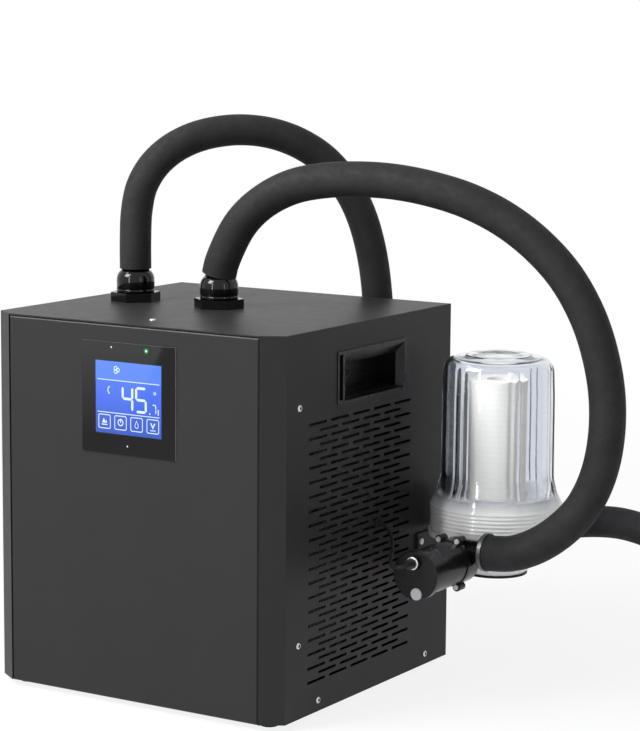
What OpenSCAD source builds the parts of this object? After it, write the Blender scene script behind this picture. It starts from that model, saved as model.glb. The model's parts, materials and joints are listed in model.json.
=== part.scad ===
// Ice bath chiller: a floor-standing water chiller with a side pump, an upturned clear
// filter and three insulated hoses. Millimetres, +Z up, the front panel faces -Y.
// The cabinet's left front corner on the floor is the local zero; place() moves it all
// so that the origin lies under the middle of the chiller without its hoses.

/* [Cabinet] */
// Width of the cabinet
cab_w = 365; // [350:5:420]
// Depth of the cabinet
cab_d = 351; // [345:5:420]
// Height of the cabinet without its feet
cab_h = 400; // [390:5:460]
// Thickness of the steel sheet
sheet = 1.5; // [1:0.25:2.5]
// Width of the slanted front corners, seen from the front
corner_w = 23; // [16:1:30]
// Depth of the slanted front corners, seen from the side
corner_d = 15; // [10:1:20]
// Gap between neighbouring panels
seam = 1; // [0.5:0.25:2]
// Depth of the folded rims of the front panel and the base pan
rim_d = 12; // [8:1:18]
// Bevel round the edge of the front panel
bevel = 1.2; // [0.5:0.1:1.4]
// Diameter of a rubber foot
foot_dia = 22; // [16:1:30]
// Height of a rubber foot
foot_h = 6; // [5:1:14]
// Distance from the cabinet's faces to the middle of a foot
foot_in = 26; // [24:1:45]

/* [Side grilles] */
// Long rows of slots, with a short row between each two
slot_rows = 19; // [11:1:20]
// Slots in a long row
slot_cols = 5; // [3:1:5]
// Length of one slot
slot_len = 35; // [24:1:36]
// Height of one slot
slot_tall = 3; // [2:0.25:4]
// Distance between slots in a row
slot_step_y = 43; // [40:1:44]
// Distance between neighbouring rows
slot_step_z = 7.5; // [6:0.25:7.75]
// Height of the lowest row above the base
slot_low_z = 34; // [30:1:36]
// Distance from the front face to the first slot
slot_front_y = 57; // [50:1:60]

/* [Carry handles] */
// Length of the handle pocket's outside
grip_l = 140; // [110:2:150]
// Height of the handle pocket's outside
grip_h = 55; // [48:1:60]
// Depth of the pocket
grip_depth = 36; // [28:1:42]
// Wall of the pocket
grip_wall = 2.5; // [2:0.5:4]
// Height of the lip that the fingers pull on
grip_lip = 13; // [8:1:18]
// Distance from the cabinet's top to the pocket
grip_drop = 27; // [24:1:34]
// Distance from the front face to the middle of the pocket
grip_y = 181; // [175:1:195]

/* [Control panel] */
// Width of the glass
glass_w = 119; // [100:1:130]
// Height of the glass
glass_h = 117; // [100:1:130]
// Thickness of the glass
glass_t = 3; // [2.5:0.5:5]
// Distance from the cabinet's top to the glass
glass_drop = 20; // [16:1:40]
// Distance of the glass from the cabinet's middle, to the left
glass_left = 1.5; // [0:0.5:10]
// Width of the lit display
lcd_w = 84; // [60:1:90]
// Height of the lit display
lcd_h = 76; // [60:1:78]
// Distance from the top of the glass to the display
lcd_drop = 20; // [16:1:24]
// Diameter of the status lamp
led_dia = 3; // [2:0.5:5]
// Clearance round the glass, the display and the lamp
glass_gap = 0.3; // [0.2:0.1:0.6]

/* [Top fittings] */
// Distance of the return fitting from the left side
return_x = 64; // [58:1:70]
// Distance between the return and the supply fitting
fitting_step = 112; // [108:1:118]
// Distance of the fittings from the front face
fitting_y = 172; // [165:1:180]
// Width of the hex flange over its flats
hex_flats = 48; // [44:1:50]
// Height of the hex flange
hex_h = 10; // [7:1:14]
// Diameter of the clamp nut
nut_dia = 42; // [38:1:44]
// Height of the clamp nut
nut_h = 26; // [22:1:34]
// Diameter of the clamp nut's top
nut_top_dia = 35; // [32:1:37]
// Fingers round the clamp nut's top
nut_ribs = 12; // [6:1:16]
// Outside diameter of the fitting's tube
tube_dia = 25; // [22:1:27]
// Bore of the fittings
tube_bore = 16; // [12:1:18]

/* [Hoses] */
// Outside diameter of the foam-covered hose from the pump to the supply fitting
loop_dia = 38; // [32:1:38]
// Outside diameter of the two foam-covered hoses to the bath
bath_dia = 35; // [30:1:36]
// Diameter of the tail at the bath end of a hose
tail_dia = 26; // [20:1:28]
// Length of the tail at the bath end of a hose
tail_l = 30; // [20:1:32]

/* [Pump] */
// Diameter of the pump motor
motor_dia = 52; // [44:1:54]
// Length of the pump motor
motor_l = 70; // [60:1:80]
// Height of the pump's axis above the floor
pump_z = 149; // [142:1:149]
// Distance of the pump's front end from the front face
pump_front_y = 137; // [130:1:150]
// Diameter of the pump's head
head_dia = 50; // [48:1:54]
// Diameter of the impeller
impeller_dia = 38; // [30:1:40]
// Vanes of the impeller
vanes = 6; // [4:1:8]

/* [Filter] */
// Outside diameter of the clear bowl
bowl_dia = 120; // [110:1:124]
// Wall of the clear bowl
bowl_wall = 4; // [3:0.5:5]
// Height of the bowl from its mouth to its top
bowl_h = 189; // [184:1:205]
// How far the bowl's flared mouth stands out beyond the bowl's side
mouth_out = 11.5; // [10:0.5:14]
// Height of the flared mouth
mouth_h = 36; // [32:1:40]
// Diameter of the filter cartridge
cartridge_dia = 63; // [50:1:68]
// Room between the cartridge's top and the bowl's top
cartridge_room = 24; // [20:1:30]
// Ribs on the outside of the bowl, which stand in pairs
bowl_ribs = 12; // [8:2:16]
// Gap between the cabinet's side and the filter's rim
filter_gap = 6; // [4:1:15]
// Distance from the front face to the middle of the filter
filter_y = 315; // [312:1:325]

/* [Refrigeration] */
// Diameter of the compressor's can
comp_dia = 106; // [90:2:108]
// Height of the compressor's can
comp_h = 185; // [160:5:230]
// Diameter of the heat exchanger barrel
barrel_dia = 140; // [134:1:142]
// Height of the heat exchanger barrel
barrel_h = 210; // [180:5:230]
// Turns of the coil in the barrel
coil_turns = 6; // [3:1:7]
// Diameter of the fan
fan_dia = 180; // [140:2:190]
// Blades of the fan
fan_blade_count = 5; // [3:1:7]
// Thickness of the condenser
cond_t = 44; // [30:2:46]
// Fins of the condenser
cond_fins = 40; // [20:2:60]

/* [Hidden] */
$fn = 64;
over = 1;                               // overrun of cuts
hair = 0.3;                             // clearance between neighbours that don't touch
run_gap = 0.08;                         // radial clearance of a running shaft
steel_black = [0.17, 0.175, 0.185];
plastic_black = [0.07, 0.07, 0.075];
foam_black = [0.16, 0.16, 0.165];
zinc = [0.78, 0.79, 0.8];
copper = [0.76, 0.45, 0.3];
clear_blue = [0.85, 0.9, 0.97, 0.35];

// Levels and the places that follow from the driving sizes
base_z = foot_h;
top_z = base_z + cab_h;
in_floor_z = base_z + sheet;            // floor inside the cabinet
in_top_z = top_z - sheet;               // underside of the top cover
back_y = cab_d - 2 * sheet;             // inner face of the rear panel
lip = 10;                               // width of the folded corner flanges
rear_lip = 16;                          // width of the flanges behind the rear panel
mouth_dia = bowl_dia + 2 * mouth_out;
rim_over = 2.5;                         // of the filter head's rim beyond the bowl's mouth
rim_dia = mouth_dia + 2 * rim_over;
filter_x = cab_w + filter_gap + rim_dia / 2;
cab_mid_x = cab_w / 2;

// Screws
screw_dia = 4;
screw_head_dia = 7;
screw_head_h = 1.6;
screw_gap = 0.2;
screw_l = 7;
side_screw_low_z = 12;                  // above the base
side_screw_y = 39;
side_screw_low_y = 78;
side_screw_rear_y = 302;
side_screw_heights = [78, 324];         // above the base
top_screw_y = 40;

// Feet
foot_bolt_dia = 5;
foot_disc_t = 1.2;

// Side grille field
slot_row_count = 2 * slot_rows - 1;
slot_mid_z = base_z + slot_low_z + slot_step_z * (slot_row_count - 1) / 2;
slot_field_y = slot_step_y * (slot_cols - 1) + slot_len;
slot_field_z = slot_step_z * (slot_row_count - 1) + slot_tall;
slot_mid_y = slot_front_y + slot_field_y / 2;

// Handle pockets
grip_top_z = top_z - grip_drop;
grip_mid_z = grip_top_z - grip_h / 2;
grip_proud = 1;
grip_flange = 2;                        // width of the rim that lies on the panel
grip_front = 22;                        // from the handle's front end to the pocket
grip_rear = 8;                          // from the handle's rear end to the pocket
grip_groove = 10;                       // from the handle's front end to its groove's far side
grip_bevel_y = 13;                      // from the handle's front end to the bevelled mouth

// Pump cable
cable_dia = 4;
cable_y = 197;
cable_z = 185;
grommet_dia = 10;
grommet_t = 4;
grommet_rim = 2;

// Control panel
glass_x = cab_mid_x - glass_left;
glass_top_z = top_z - glass_drop;
glass_mid_z = glass_top_z - glass_h / 2;
glass_proud = 1.5;
lcd_top_z = glass_top_z - lcd_drop;
lcd_mid_z = lcd_top_z - lcd_h / 2;
lcd_sunk = 0.3;
led_off_x = 23;
led_drop = 6;

// Top fittings
supply_x = return_x + fitting_step;
hex_dia = hex_flats / cos(30);
fit_top_z = top_z + hex_h + nut_h;
thread_dia = 30;
thread_l = 20;
locknut_flats = 38;
locknut_h = 8;
nut_gap = 0.4;
nut_rib = 1.6;
nut_straight_h = nut_h / 2;
dome_shares = [[0.07, 0.64], [0.24, 0.75], [0.58, 0.85], [1, 0.92]];
supply_turn = 22;                       // of the hex flanges, as they were screwed in
return_turn = 44;

// Condenser and fan
cond_gap = cab_w * 0.022;               // between the handle pocket and the condenser
cond_x = cab_w - sheet - grip_depth - cond_gap - cond_t;
cond_y = slot_mid_y;
cond_w = 200;
cond_z = in_floor_z;
cond_h = 288;
cond_end_t = 2;
cond_core_share = 0.6;
bend_rows = 8;
bend_dia = 8;
bend_step = cond_h / bend_rows;
fan_pack = cab_w * 0.225;               // depth of shroud, strut and fan motor
shroud_d = fan_pack * 0.41;
shroud_t = 2;
fan_x = cond_x - shroud_d / 2;
fan_z = cond_z + cond_h / 2;
fan_gap = 3;
hub_dia = 60;
hub_l = shroud_d * 0.88;
blade_t = 2;
blade_twist = asin(shroud_d * 0.75 / (fan_dia * 0.3));
fan_shaft_dia = 8;
motor_can_dia = 72;
strut_drop = 8;                         // from the shroud's mouth to the motor's plate
motor_can_l = fan_pack - shroud_d - strut_drop;
fan_motor_end_x = cond_x - fan_pack;
strut_w = 8;
strut_t = 3;

// Water pipes and barrel
barrel_gap = 3;                         // between the barrel and the fan motor
barrel_x = fan_motor_end_x - barrel_gap - barrel_dia / 2;
barrel_y = fitting_y;
stand_h = 60;
stand_plate_t = 2;
barrel_z = in_floor_z + stand_h;
barrel_wall = 4;
lid_h = 16;
lid_over = 3;
barrel_port_dia = 24;
barrel_port_h = 12;
pipe_dia = 20;
barrel_top_z = barrel_z + barrel_h + lid_h;
pipe_low_z = barrel_top_z + barrel_port_h;
pipe_high_z = in_top_z - thread_l;
coil_tube_dia = 9.5;
coil_in = 16;                           // from the barrel's wall and floor to the coil
coil_ends = 60;                         // height of the barrel that the coil leaves free
coil_r = barrel_dia / 2 - barrel_wall - coil_in;
coil_pitch = (barrel_h - coil_ends) / coil_turns;
coil_low_z = barrel_z + barrel_wall + coil_in;

// Compressor
comp_side = 1.5;                        // between the can and the fan shroud's front
comp_rear = 6;                          // between the can and the rear panel
comp_x = cond_x - shroud_d - comp_side - comp_dia / 2;
comp_y = back_y - comp_rear - comp_dia / 2;
comp_foot_angles = [30, 150, 270];
comp_foot_dia = 18;
comp_foot_h = 12;
comp_foot_in = 2;
comp_foot_r = comp_dia / 2 - comp_foot_in;
comp_plate_t = 3;
comp_z = in_floor_z + comp_foot_h + comp_plate_t;
comp_dome_share = 0.3;

// Refrigerant pipes
gas_dia = 8;
suction_dia = 10;
cap_dia = 3;
drier_dia = 19;
drier_l = 80;
pipe_bend = 20;                         // room that a bend of a copper pipe takes

// Electrics
box_w = 80;
box_d = 40;
box_h = 90;
box_lid_h = 8;
box_lid_over = 2;
inlet_w = 48;
inlet_h = 28;
inlet_d = 23;
inlet_x = 70;
inlet_z = 80;
pin_t = 2;
pin_h = 4;
switch_w = 22;
switch_h = 30;
switch_d = 20;
switch_x = 30;
switch_flange = 2;
rocker_tilt = 12;
rocker_pin_dia = 3;
rocker_in = 2;                          // from the cabinet's back to the rocker's pin
rocker_t = 9;
rocker_rise = 5;

// Pump
pump_x = filter_x;
flange_t = 6;
flange_y = pump_front_y + motor_l;
motor_neck = 2;                         // the motor's body is this much in from its front cap
pump_screw_share = 0.8;                 // size of the pump's screws against the panel's
lug_r = motor_dia / 2 - motor_neck + screw_head_dia * pump_screw_share / 2 + hair;
lug_dia = 9;
lug_angles = [66, 114, 246, 294];
motor_bevel = 1.5;
pump_head_y = flange_y + flange_t;
pump_head_l = 25;
pump_head_end_y = pump_head_y + pump_head_l;
pump_wall = 4;
head_front_share = 0.7;                 // of the pump head's length that has its full diameter
head_neck_share = 0.8;                  // diameter of the pump head behind that
outlet_dia = 22;
outlet_bore = 14;
outlet_up = 13;                         // from the pump's axis to the outlet's
outlet_l = 33;
outlet_z = pump_z + outlet_up;
outlet_end_x = pump_x + outlet_l;
outlet_y = pump_head_y + pump_head_l / 2;
spigot_dia = 24;
spigot_bore = 16;
impeller_t = 12;
vane_t = 2;
impeller_shaft_dia = 6;
gland_dia = 15;
gland_h = 12;
gland_up = 14;
gland_z = pump_z + gland_up;
vent_dia = 12.5;
vent_down = 19;
vent_side = 3;
vent_z = pump_z - vent_down;
vent_t = 2;
cap_t = 10;                             // thickness of the motor's end cap
clip_w = 4;
clip_t = 1.2;
clip_in = 2;                            // from the hose's end to the clip

// Filter
rim_t = 6;
rim_up = 13;                            // from the pump's axis to the head's rim
rim_z = pump_z + rim_up;
mouth_z = rim_z + rim_t + hair;
bowl_top_z = mouth_z + bowl_h;
shelf_z = mouth_z + mouth_h;            // inner shelf over the mouth
mouth_wall = 4.5;
collar_gap = 5;                         // between the collar and the bowl's mouth
collar_wall = 16;
collar_dia = mouth_dia - 2 * mouth_wall - 2 * collar_gap;
collar_bore = collar_dia - 2 * collar_wall;
shelf_gap = 6;                          // room for the seal over the collar
collar_top_z = shelf_z - shelf_gap;
thread_rib = 2.2;
thread_ribs = 4;
body_dia = 88;
body_down = 27;                         // from the pump's axis to the head's lower end
body_low_z = pump_z - body_down;
elbow_drop = 2;                         // of the elbow under the pump's axis
elbow_z = pump_z - elbow_drop;
body_round = 10;
port_dia = 28;
port_bore = 16;
port_l = 14;                            // of a port beyond the head's body
seat_dia = 44;
nipple_dia = 24;
nipple_h = 12;
cartridge_bore = 27;
cartridge_cap_t = 4;
seat_h = 8;
cartridge_z = collar_top_z + seat_h;
cartridge_l = bowl_top_z - cartridge_room - cartridge_z;
cap_rim = 1.5;
crown_dia = 72;
crown_t = 3;
shoulder = 13;
rib_w = 3;
rib_out = 1.8;
rib_turn = -44;                         // of the first pair of ribs, seen from above
rib_spread = 10;                        // angle between the two ribs of a pair
seal_sec = 2.7;
seal_r = bowl_dia / 2 - bowl_wall + seal_sec + hair;
boss_dia = 18;
elbow_turn = 20;                        // the inlet's elbow points up by this angle
elbow_l = 26;
leg_dia = 26;
leg_bore = 14;
elbow_y = 95;                           // from the filter's middle to the elbow
inlet_low_y = collar_bore / 2 - port_bore;

// Side bracket under the filter
bracket_t = 2.5;
bracket_w = 70;
bracket_up = 36;
bracket_screw_in = 12;
head_screw_r = 24;

// Middle of the chiller without its hoses, between its outermost faces
mid_x = (filter_x + rim_dia / 2 - screw_head_h) / 2;
mid_y = (filter_y + elbow_y + port_dia / 2 - glass_proud) / 2;

// Routes of the hoses and the pump cable, chosen by hand: x, y, z from the cabinet's corner
loop_route = [[176, 172, 442], [180, 172, 456], [198, 174, 492], [214, 176, 511], [236, 180, 528],
              [264, 184, 541], [296, 189, 548], [334, 195, 551], [376, 201, 550], [418, 207, 544],
              [460, 213, 533], [500, 219, 515], [536, 224, 490], [566, 229, 459], [590, 232, 420],
              [604, 235, 380], [612, 236, 338], [612, 236, 294], [604, 235, 254], [588, 233, 220],
              [566, 230, 195], [540, 227, 176], [514, 225.5, 165], [494, 225.5, 162], [478, 225.5, 162]];
return_route = [[64, 172, 442], [64, 172, 474], [65, 173, 505], [69, 177, 532], [78, 187, 555],
                [92, 201, 573], [110, 220, 586], [131, 243, 593], [152, 265, 594], [173, 288, 589],
                [193, 309, 578], [212, 329, 560], [228, 346, 534], [241, 360, 500], [251, 371, 450],
                [256, 378, 380], [256, 380, 300], [255, 380, 200], [246, 380, 130], [222, 380, 78],
                [186, 380, 40], [148, 380, 22], [108, 380, 18], [-10, 380, 18]];
inlet_route = [[469.5, 410, 155.9], [484, 410, 161], [502, 410, 165], [524, 410, 168], [548, 410, 169],
               [573, 410, 166], [600, 409, 159], [630, 407, 147], [662, 405, 129], [694, 403, 107],
               [726, 402, 83], [760, 401, 58], [800, 400, 35], [850, 400, 20], [905, 400, 18],
               [997, 375, 18], [1065, 307, 18], [1090, 215, 18], [1065, 123, 18], [997, 55, 18],
               [905, 30, 18], [813, 55, 18], [774, 84, 18]];
cable_route = [[369, 197, 185], [378, 195, 181], [388, 187, 173], [398, 172, 166], [408, 152, 161],
               [419, 133, 159], [431, 118, 160], [441, 112, 162], [445, 116, 163], [445, 125, 163]];

// A flat outline in X and Z, drawn out along Y
module along_y(y0, y1) translate([0, y0, 0]) rotate([90, 0, 180]) mirror([1, 0, 0])
    linear_extrude(y1 - y0) children();

// Moves everything so that the origin lies on the floor under the chiller's middle
module place() translate([-mid_x, -mid_y, 0]) children();

// A cylinder along X or Y that starts at the given place
module rod_x(d, l) rotate([0, 90, 0]) cylinder(d = d, h = l);
module rod_y(d, l) rotate([-90, 0, 0]) cylinder(d = d, h = l);

// A box between two corners
module span(lo, hi) translate(lo) cube(hi - lo);

// Smooth tubes along a route
function unit(v) = v / norm(v);
function mixed(a, b, c, d, t) =
    ((2 * b) + (c - a) * t + (2 * a - 5 * b + 4 * c - d) * t * t
     + (3 * b - a - 3 * c + d) * t * t * t) / 2;
function smooth(route, steps) = let (n = len(route) - 1) concat(
    [for (i = [0:n - 1]) for (k = [0:steps - 1])
        mixed(route[max(i - 1, 0)], route[i], route[i + 1], route[min(i + 2, n)], k / steps)],
    [route[n]]);
function heading(path, i) = unit(path[min(i + 1, len(path) - 1)] - path[max(i - 1, 0)]);
function carried(path, i, side) = let (h = heading(path, i)) unit(side - h * (side * h));
function sides(path, i, side) =
    i == len(path) ? [] : let (s = carried(path, i, side)) concat([s], sides(path, i + 1, s));
function route_length(path, i = 1) =
    i == len(path) ? 0 : norm(path[i] - path[i - 1]) + route_length(path, i + 1);
// start_way and end_way, where given, are the directions of the tube's two ends
module tube(path, d, first_side, corners = 12, start_way = undef, end_way = undef) {
    n = len(path);
    turned = sides(path, 0, first_side);
    rings = [for (i = [0:n - 1]) let (
        h = i == 0 && start_way != undef ? start_way
            : i == n - 1 && end_way != undef ? end_way : heading(path, i),
        a = unit(turned[i] - h * (turned[i] * h)),
        b = cross(h, a))
        for (k = [0:corners - 1]) let (turn = k * 360 / corners)
            path[i] + d / 2 * (a * cos(turn) + b * sin(turn))];
    walls = [for (i = [0:n - 2]) for (k = [0:corners - 1]) let (
        j = (k + 1) % corners, p = i * corners, q = p + corners)
        each [[p + k, q + j, p + j], [p + k, q + k, q + j]]];
    ends = [[for (k = [0:corners - 1]) k], [for (k = [corners - 1:-1:0]) (n - 1) * corners + k]];
    polyhedron(points = rings, faces = concat(walls, ends), convexity = 8);
}

// Outline of the cabinet seen from above, drawn in by a distance
function outline(inset) = let (
    slant = inset * (norm([corner_w, corner_d]) - corner_d) / corner_w,
    cut = inset * (norm([corner_w, corner_d]) - corner_w) / corner_d)
    [[inset, corner_d + slant], [corner_w + cut, inset], [cab_w - corner_w - cut, inset],
     [cab_w - inset, corner_d + slant], [cab_w - inset, cab_d - inset], [inset, cab_d - inset]];
module slab(inset, z, t) translate([0, 0, z]) linear_extrude(t) polygon(outline(inset));

// The screws' places: [place, direction the head faces]
function right_screws() = [for (p = [
    [side_screw_y, side_screw_heights[0]], [side_screw_y, side_screw_heights[1]],
    [side_screw_low_y, side_screw_low_z], [side_screw_rear_y, side_screw_low_z]])
    [cab_w, p[0], base_z + p[1]]];
rear_screw_in = 9;
function rear_screws() = [for (x = [rear_screw_in, cab_w - rear_screw_in])
    for (z = [side_screw_low_z, cab_h / 2, cab_h - side_screw_low_z * 2]) [x, cab_d, base_z + z]];

module screw() {
    translate([0, 0, -screw_l]) cylinder(d = screw_dia, h = screw_l + screw_head_h / 2);
    difference() {
        cylinder(d = screw_head_dia, h = screw_head_h);
        translate([0, 0, screw_head_h / 2]) cylinder(d = screw_dia / 2, h = screw_head_h, $fn = 6);
    }
}
module screw_hole() translate([0, 0, -screw_l - over])
    cylinder(d = screw_dia + 2 * screw_gap, h = screw_l * 2 + over);
module at_right_screws() for (p = right_screws()) translate(p) rotate([0, 90, 0]) children();
module at_left_screws() for (p = right_screws()) translate([0, p[1], p[2]]) rotate([0, -90, 0]) children();
module at_rear_screws() for (p = rear_screws()) translate(p) rotate([-90, 0, 0]) children();
module at_top_screw() translate([cab_mid_x, top_screw_y, top_z]) children();

// Cabinet
pan_side = sheet + seam / 2;            // from the cabinet's sides to the pan
pan_front = rim_d + seam;               // the front panel's rim ends here, against the pan
pan_back = 2 * sheet + seam / 2;
pan_cut = corner_w / 2;
upright_w = 20;
function pan_outline(inset) = [
    [pan_side + inset, pan_front + pan_cut], [pan_side + pan_cut, pan_front + inset],
    [cab_w - pan_side - pan_cut, pan_front + inset], [cab_w - pan_side - inset, pan_front + pan_cut],
    [cab_w - pan_side - inset, cab_d - pan_back - inset], [pan_side + inset, cab_d - pan_back - inset]];
// The floor pan, with two uprights that the side panels are screwed to
module base_pan() color(steel_black) place() difference() {
    union() {
        translate([0, 0, base_z]) difference() {
            linear_extrude(rim_d * 2) polygon(pan_outline(0));
            translate([0, 0, sheet]) linear_extrude(rim_d * 2) polygon(pan_outline(sheet));
        }
        for (x = [pan_side, cab_w - pan_side - sheet])
            span([x, side_screw_y - upright_w / 2, base_z],
                 [x + sheet, side_screw_y + upright_w / 2, base_z + side_screw_heights[1] + upright_w / 2]);
    }
    at_right_screws() screw_hole();
    at_left_screws() screw_hole();
    at_rear_screws() screw_hole();
    at_feet() cylinder(d = foot_bolt_dia + 2 * screw_gap, h = base_z + 2 * sheet);
}

module panel_side() {
    inner = sheet;
    translate([0, 0, base_z]) difference() {
        linear_extrude(cab_h - sheet) polygon([
            [cab_w, cab_d], [cab_w, corner_d], [cab_w - corner_w, 0], [cab_w - corner_w, lip],
            [cab_w - corner_w + inner, lip], [cab_w - corner_w + inner, inner * 1.4],
            [cab_w - inner, corner_d + inner / 2], [cab_w - inner, cab_d - inner],
            [cab_w - rear_lip, cab_d - inner], [cab_w - rear_lip, cab_d]]);
        translate([cab_w + over, 0, -base_z]) rotate([0, -90, 0]) linear_extrude(sheet + 2 * over) grille();
        translate([cab_w - sheet - over, grip_y - grip_l / 2 + grip_flange,
                   grip_top_z - grip_h + grip_flange - base_z])
            cube([sheet + 2 * over, grip_l - 2 * grip_flange, grip_h - 2 * grip_flange]);
    }
}

// The slots, drawn flat with height along the first axis
module grille() for (row = [0:slot_row_count - 1]) {
    shift = row % 2 == 0 ? 0 : slot_step_y / 2;
    for (col = [0:slot_cols - 1 - row % 2])
        translate([base_z + slot_low_z + row * slot_step_z, slot_front_y + shift + col * slot_step_y]) {
            translate([-slot_tall / 2, slot_tall / 2]) square([slot_tall, slot_len - slot_tall]);
            for (y = [slot_tall / 2, slot_len - slot_tall / 2])
                translate([0, y]) circle(d = slot_tall, $fn = 24);
        }
}

module right_side_panel() color(steel_black) place() difference() {
    panel_side();
    at_right_screws() screw_hole();
    at_rear_screws() screw_hole();
    translate([cab_w - 2 * sheet, cable_y, cable_z]) rod_x(grommet_dia, sheet * 4);
    for (y = bracket_screw_ys()) translate([cab_w - screw_l, y, pump_z])
        rod_x(screw_dia + 2 * screw_gap, screw_l * 2);
}

module left_side_panel() color(steel_black) place() difference() {
    translate([cab_w, 0, 0]) mirror([1, 0, 0]) panel_side();
    at_left_screws() screw_hole();
    at_rear_screws() screw_hole();
}

module front_panel() color(steel_black) place() {
    x0 = corner_w + seam;
    x1 = cab_w - corner_w - seam;
    z0 = base_z;
    z1 = top_z - sheet - seam;
    difference() {
        intersection() {
            translate([0, 0, z0]) linear_extrude(z1 - z0) polygon([
                [x0 + bevel, 0], [x1 - bevel, 0], [x1, bevel],
                [x1, pan_front], [x0, pan_front], [x0, bevel]]);
            translate([x0 - over, 0, 0]) rotate([90, 0, 90]) linear_extrude(x1 - x0 + 2 * over) polygon([
                [0, z0 + bevel], [bevel, z0], [pan_front, z0],
                [pan_front, z1], [bevel, z1], [0, z1 - bevel]]);
        }
        span([x0 + sheet, sheet, z0 + sheet], [x1 - sheet, pan_front + over, z1 - sheet]);
        span([glass_x - glass_w / 2 - glass_gap, -over, glass_top_z - glass_h - glass_gap],
             [glass_x + glass_w / 2 + glass_gap, sheet + over, glass_top_z + glass_gap]);
    }
}

module rear_panel() color(steel_black) place() difference() {
    span([pan_side, back_y, base_z], [cab_w - pan_side, cab_d - sheet, top_z - sheet]);
    at_rear_screws() screw_hole();
    span([inlet_x - inlet_w / 2, back_y - over, inlet_z - inlet_h / 2],
         [inlet_x + inlet_w / 2, cab_d + over, inlet_z + inlet_h / 2]);
    span([switch_x - switch_w / 2, back_y - over, inlet_z - switch_h / 2],
         [switch_x + switch_w / 2, cab_d + over, inlet_z + switch_h / 2]);
}

module top_cover() color(steel_black) place() difference() {
    union() {
        slab(0, top_z - sheet, sheet);
        difference() {
            slab(2 * sheet + rim_d, top_z - sheet - rim_d, rim_d + sheet / 2);
            slab(3 * sheet + rim_d, top_z - sheet - rim_d - over, rim_d + over);
        }
    }
    for (x = [return_x, supply_x]) translate([x, fitting_y, top_z - 2 * sheet])
        cylinder(d = thread_dia + 2 * hair, h = 4 * sheet);
    at_top_screw() screw_hole();
}

module at_feet() for (x = [foot_in, cab_w - foot_in]) for (y = [foot_in, cab_d - foot_in])
    translate([x, y, 0]) children();
module rubber_feet() color(plastic_black) place() at_feet() difference() {
    union() {
        rotate_extrude() polygon([[0, 0], [foot_dia * 0.42, 0], [foot_dia / 2, foot_h * 0.3],
                                  [foot_dia / 2, foot_h], [0, foot_h]]);
        cylinder(d = foot_bolt_dia, h = foot_h + 2 * sheet);
    }
    translate([0, 0, -over]) cylinder(d = foot_bolt_dia, h = over + foot_disc_t);
}

module panel_screws() color(zinc) place() {
    at_right_screws() screw();
    at_left_screws() screw();
    at_rear_screws() screw();
    at_top_screw() screw();
}

// A pocket that opens towards +X, with a lip that hangs from its top edge
module handle() {
    l0 = grip_y - grip_l / 2;
    l1 = grip_y + grip_l / 2;
    z1 = grip_top_z;
    z0 = z1 - grip_h;
    w = grip_flange + hair;
    lip_x = cab_w - 3 * grip_wall;
    back_x = cab_w - grip_depth + grip_wall;
    out_x = cab_w + grip_proud + over;
    low = z0 + w + grip_wall / 2;
    difference() {
        union() {
            span([cab_w, l0, z0], [cab_w + grip_proud, l1, z1]);
            span([cab_w - grip_depth, l0 + w, z0 + w], [cab_w + grip_proud, l1 - w, z1 - w]);
        }
        intersection() {
            along_y(l0, l1) polygon([
                [lip_x, low], [out_x, z0 + w], [out_x, z1 - w], [lip_x, z1 - w - grip_lip]]);
            translate([0, 0, z0]) linear_extrude(grip_h) polygon([
                [lip_x, l0 + grip_front], [out_x, l0 + grip_bevel_y],
                [out_x, l1 - w], [lip_x, l1 - grip_rear]]);
        }
        along_y(l0 + grip_front, l1 - grip_rear) polygon([
            [lip_x + over, low], [back_x, low + 2 * grip_wall], [back_x, z1 - w - grip_wall],
            [lip_x - grip_wall, z1 - w - grip_wall], [lip_x, z1 - w - grip_lip],
            [lip_x + over, z1 - w - grip_lip]]);
        span([back_x, l0 + w + grip_wall / 2, low], [out_x, l0 + grip_groove, z1 - w - grip_wall / 2]);
    }
}
module right_handle() color(plastic_black) place() handle();
module left_handle() color(plastic_black) place()
    translate([cab_w, 0, 0]) mirror([1, 0, 0]) handle();

module cable_grommet() color(plastic_black) place() translate([cab_w, cable_y, cable_z]) rotate([0, 90, 0])
    difference() {
        union() {
            translate([0, 0, -sheet]) cylinder(d = grommet_dia - screw_gap, h = sheet);
            cylinder(d = grommet_dia + 2 * grommet_rim, h = grommet_rim);
            translate([0, 0, -sheet - grommet_rim])
                cylinder(d = grommet_dia + 2 * grommet_rim, h = grommet_rim);
            cylinder(d = grommet_dia - grommet_rim, h = grommet_rim + grommet_t / 2);
        }
        translate([0, 0, -grommet_t * 2]) cylinder(d = cable_dia, h = grommet_t * 2);
    }

// Control panel
module control_glass() color(plastic_black) place() difference() {
    span([glass_x - glass_w / 2, -glass_proud, glass_top_z - glass_h],
         [glass_x + glass_w / 2, glass_t - glass_proud, glass_top_z]);
    span([glass_x - lcd_w / 2, -glass_proud - over, lcd_top_z - lcd_h],
         [glass_x + lcd_w / 2, glass_t, lcd_top_z]);
    translate([glass_x + led_off_x, -glass_proud - over, glass_top_z - led_drop])
        rod_y(led_dia + 2 * glass_gap, glass_t + 2 * over);
}
module lcd_display() color([0.25, 0.41, 0.9]) place()
    span([glass_x - lcd_w / 2 + glass_gap, lcd_sunk - glass_proud, lcd_top_z - lcd_h + glass_gap],
         [glass_x + lcd_w / 2 - glass_gap, glass_t - glass_proud, lcd_top_z - glass_gap]);
module status_lamp() color([0.2, 0.9, 0.35]) place()
    translate([glass_x + led_off_x, lcd_sunk - glass_proud, glass_top_z - led_drop])
        rod_y(led_dia, glass_t - lcd_sunk);
board_edge = 6;                         // of the board beyond the glass
board_t = 1.6;
chip_l = 22;
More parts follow.
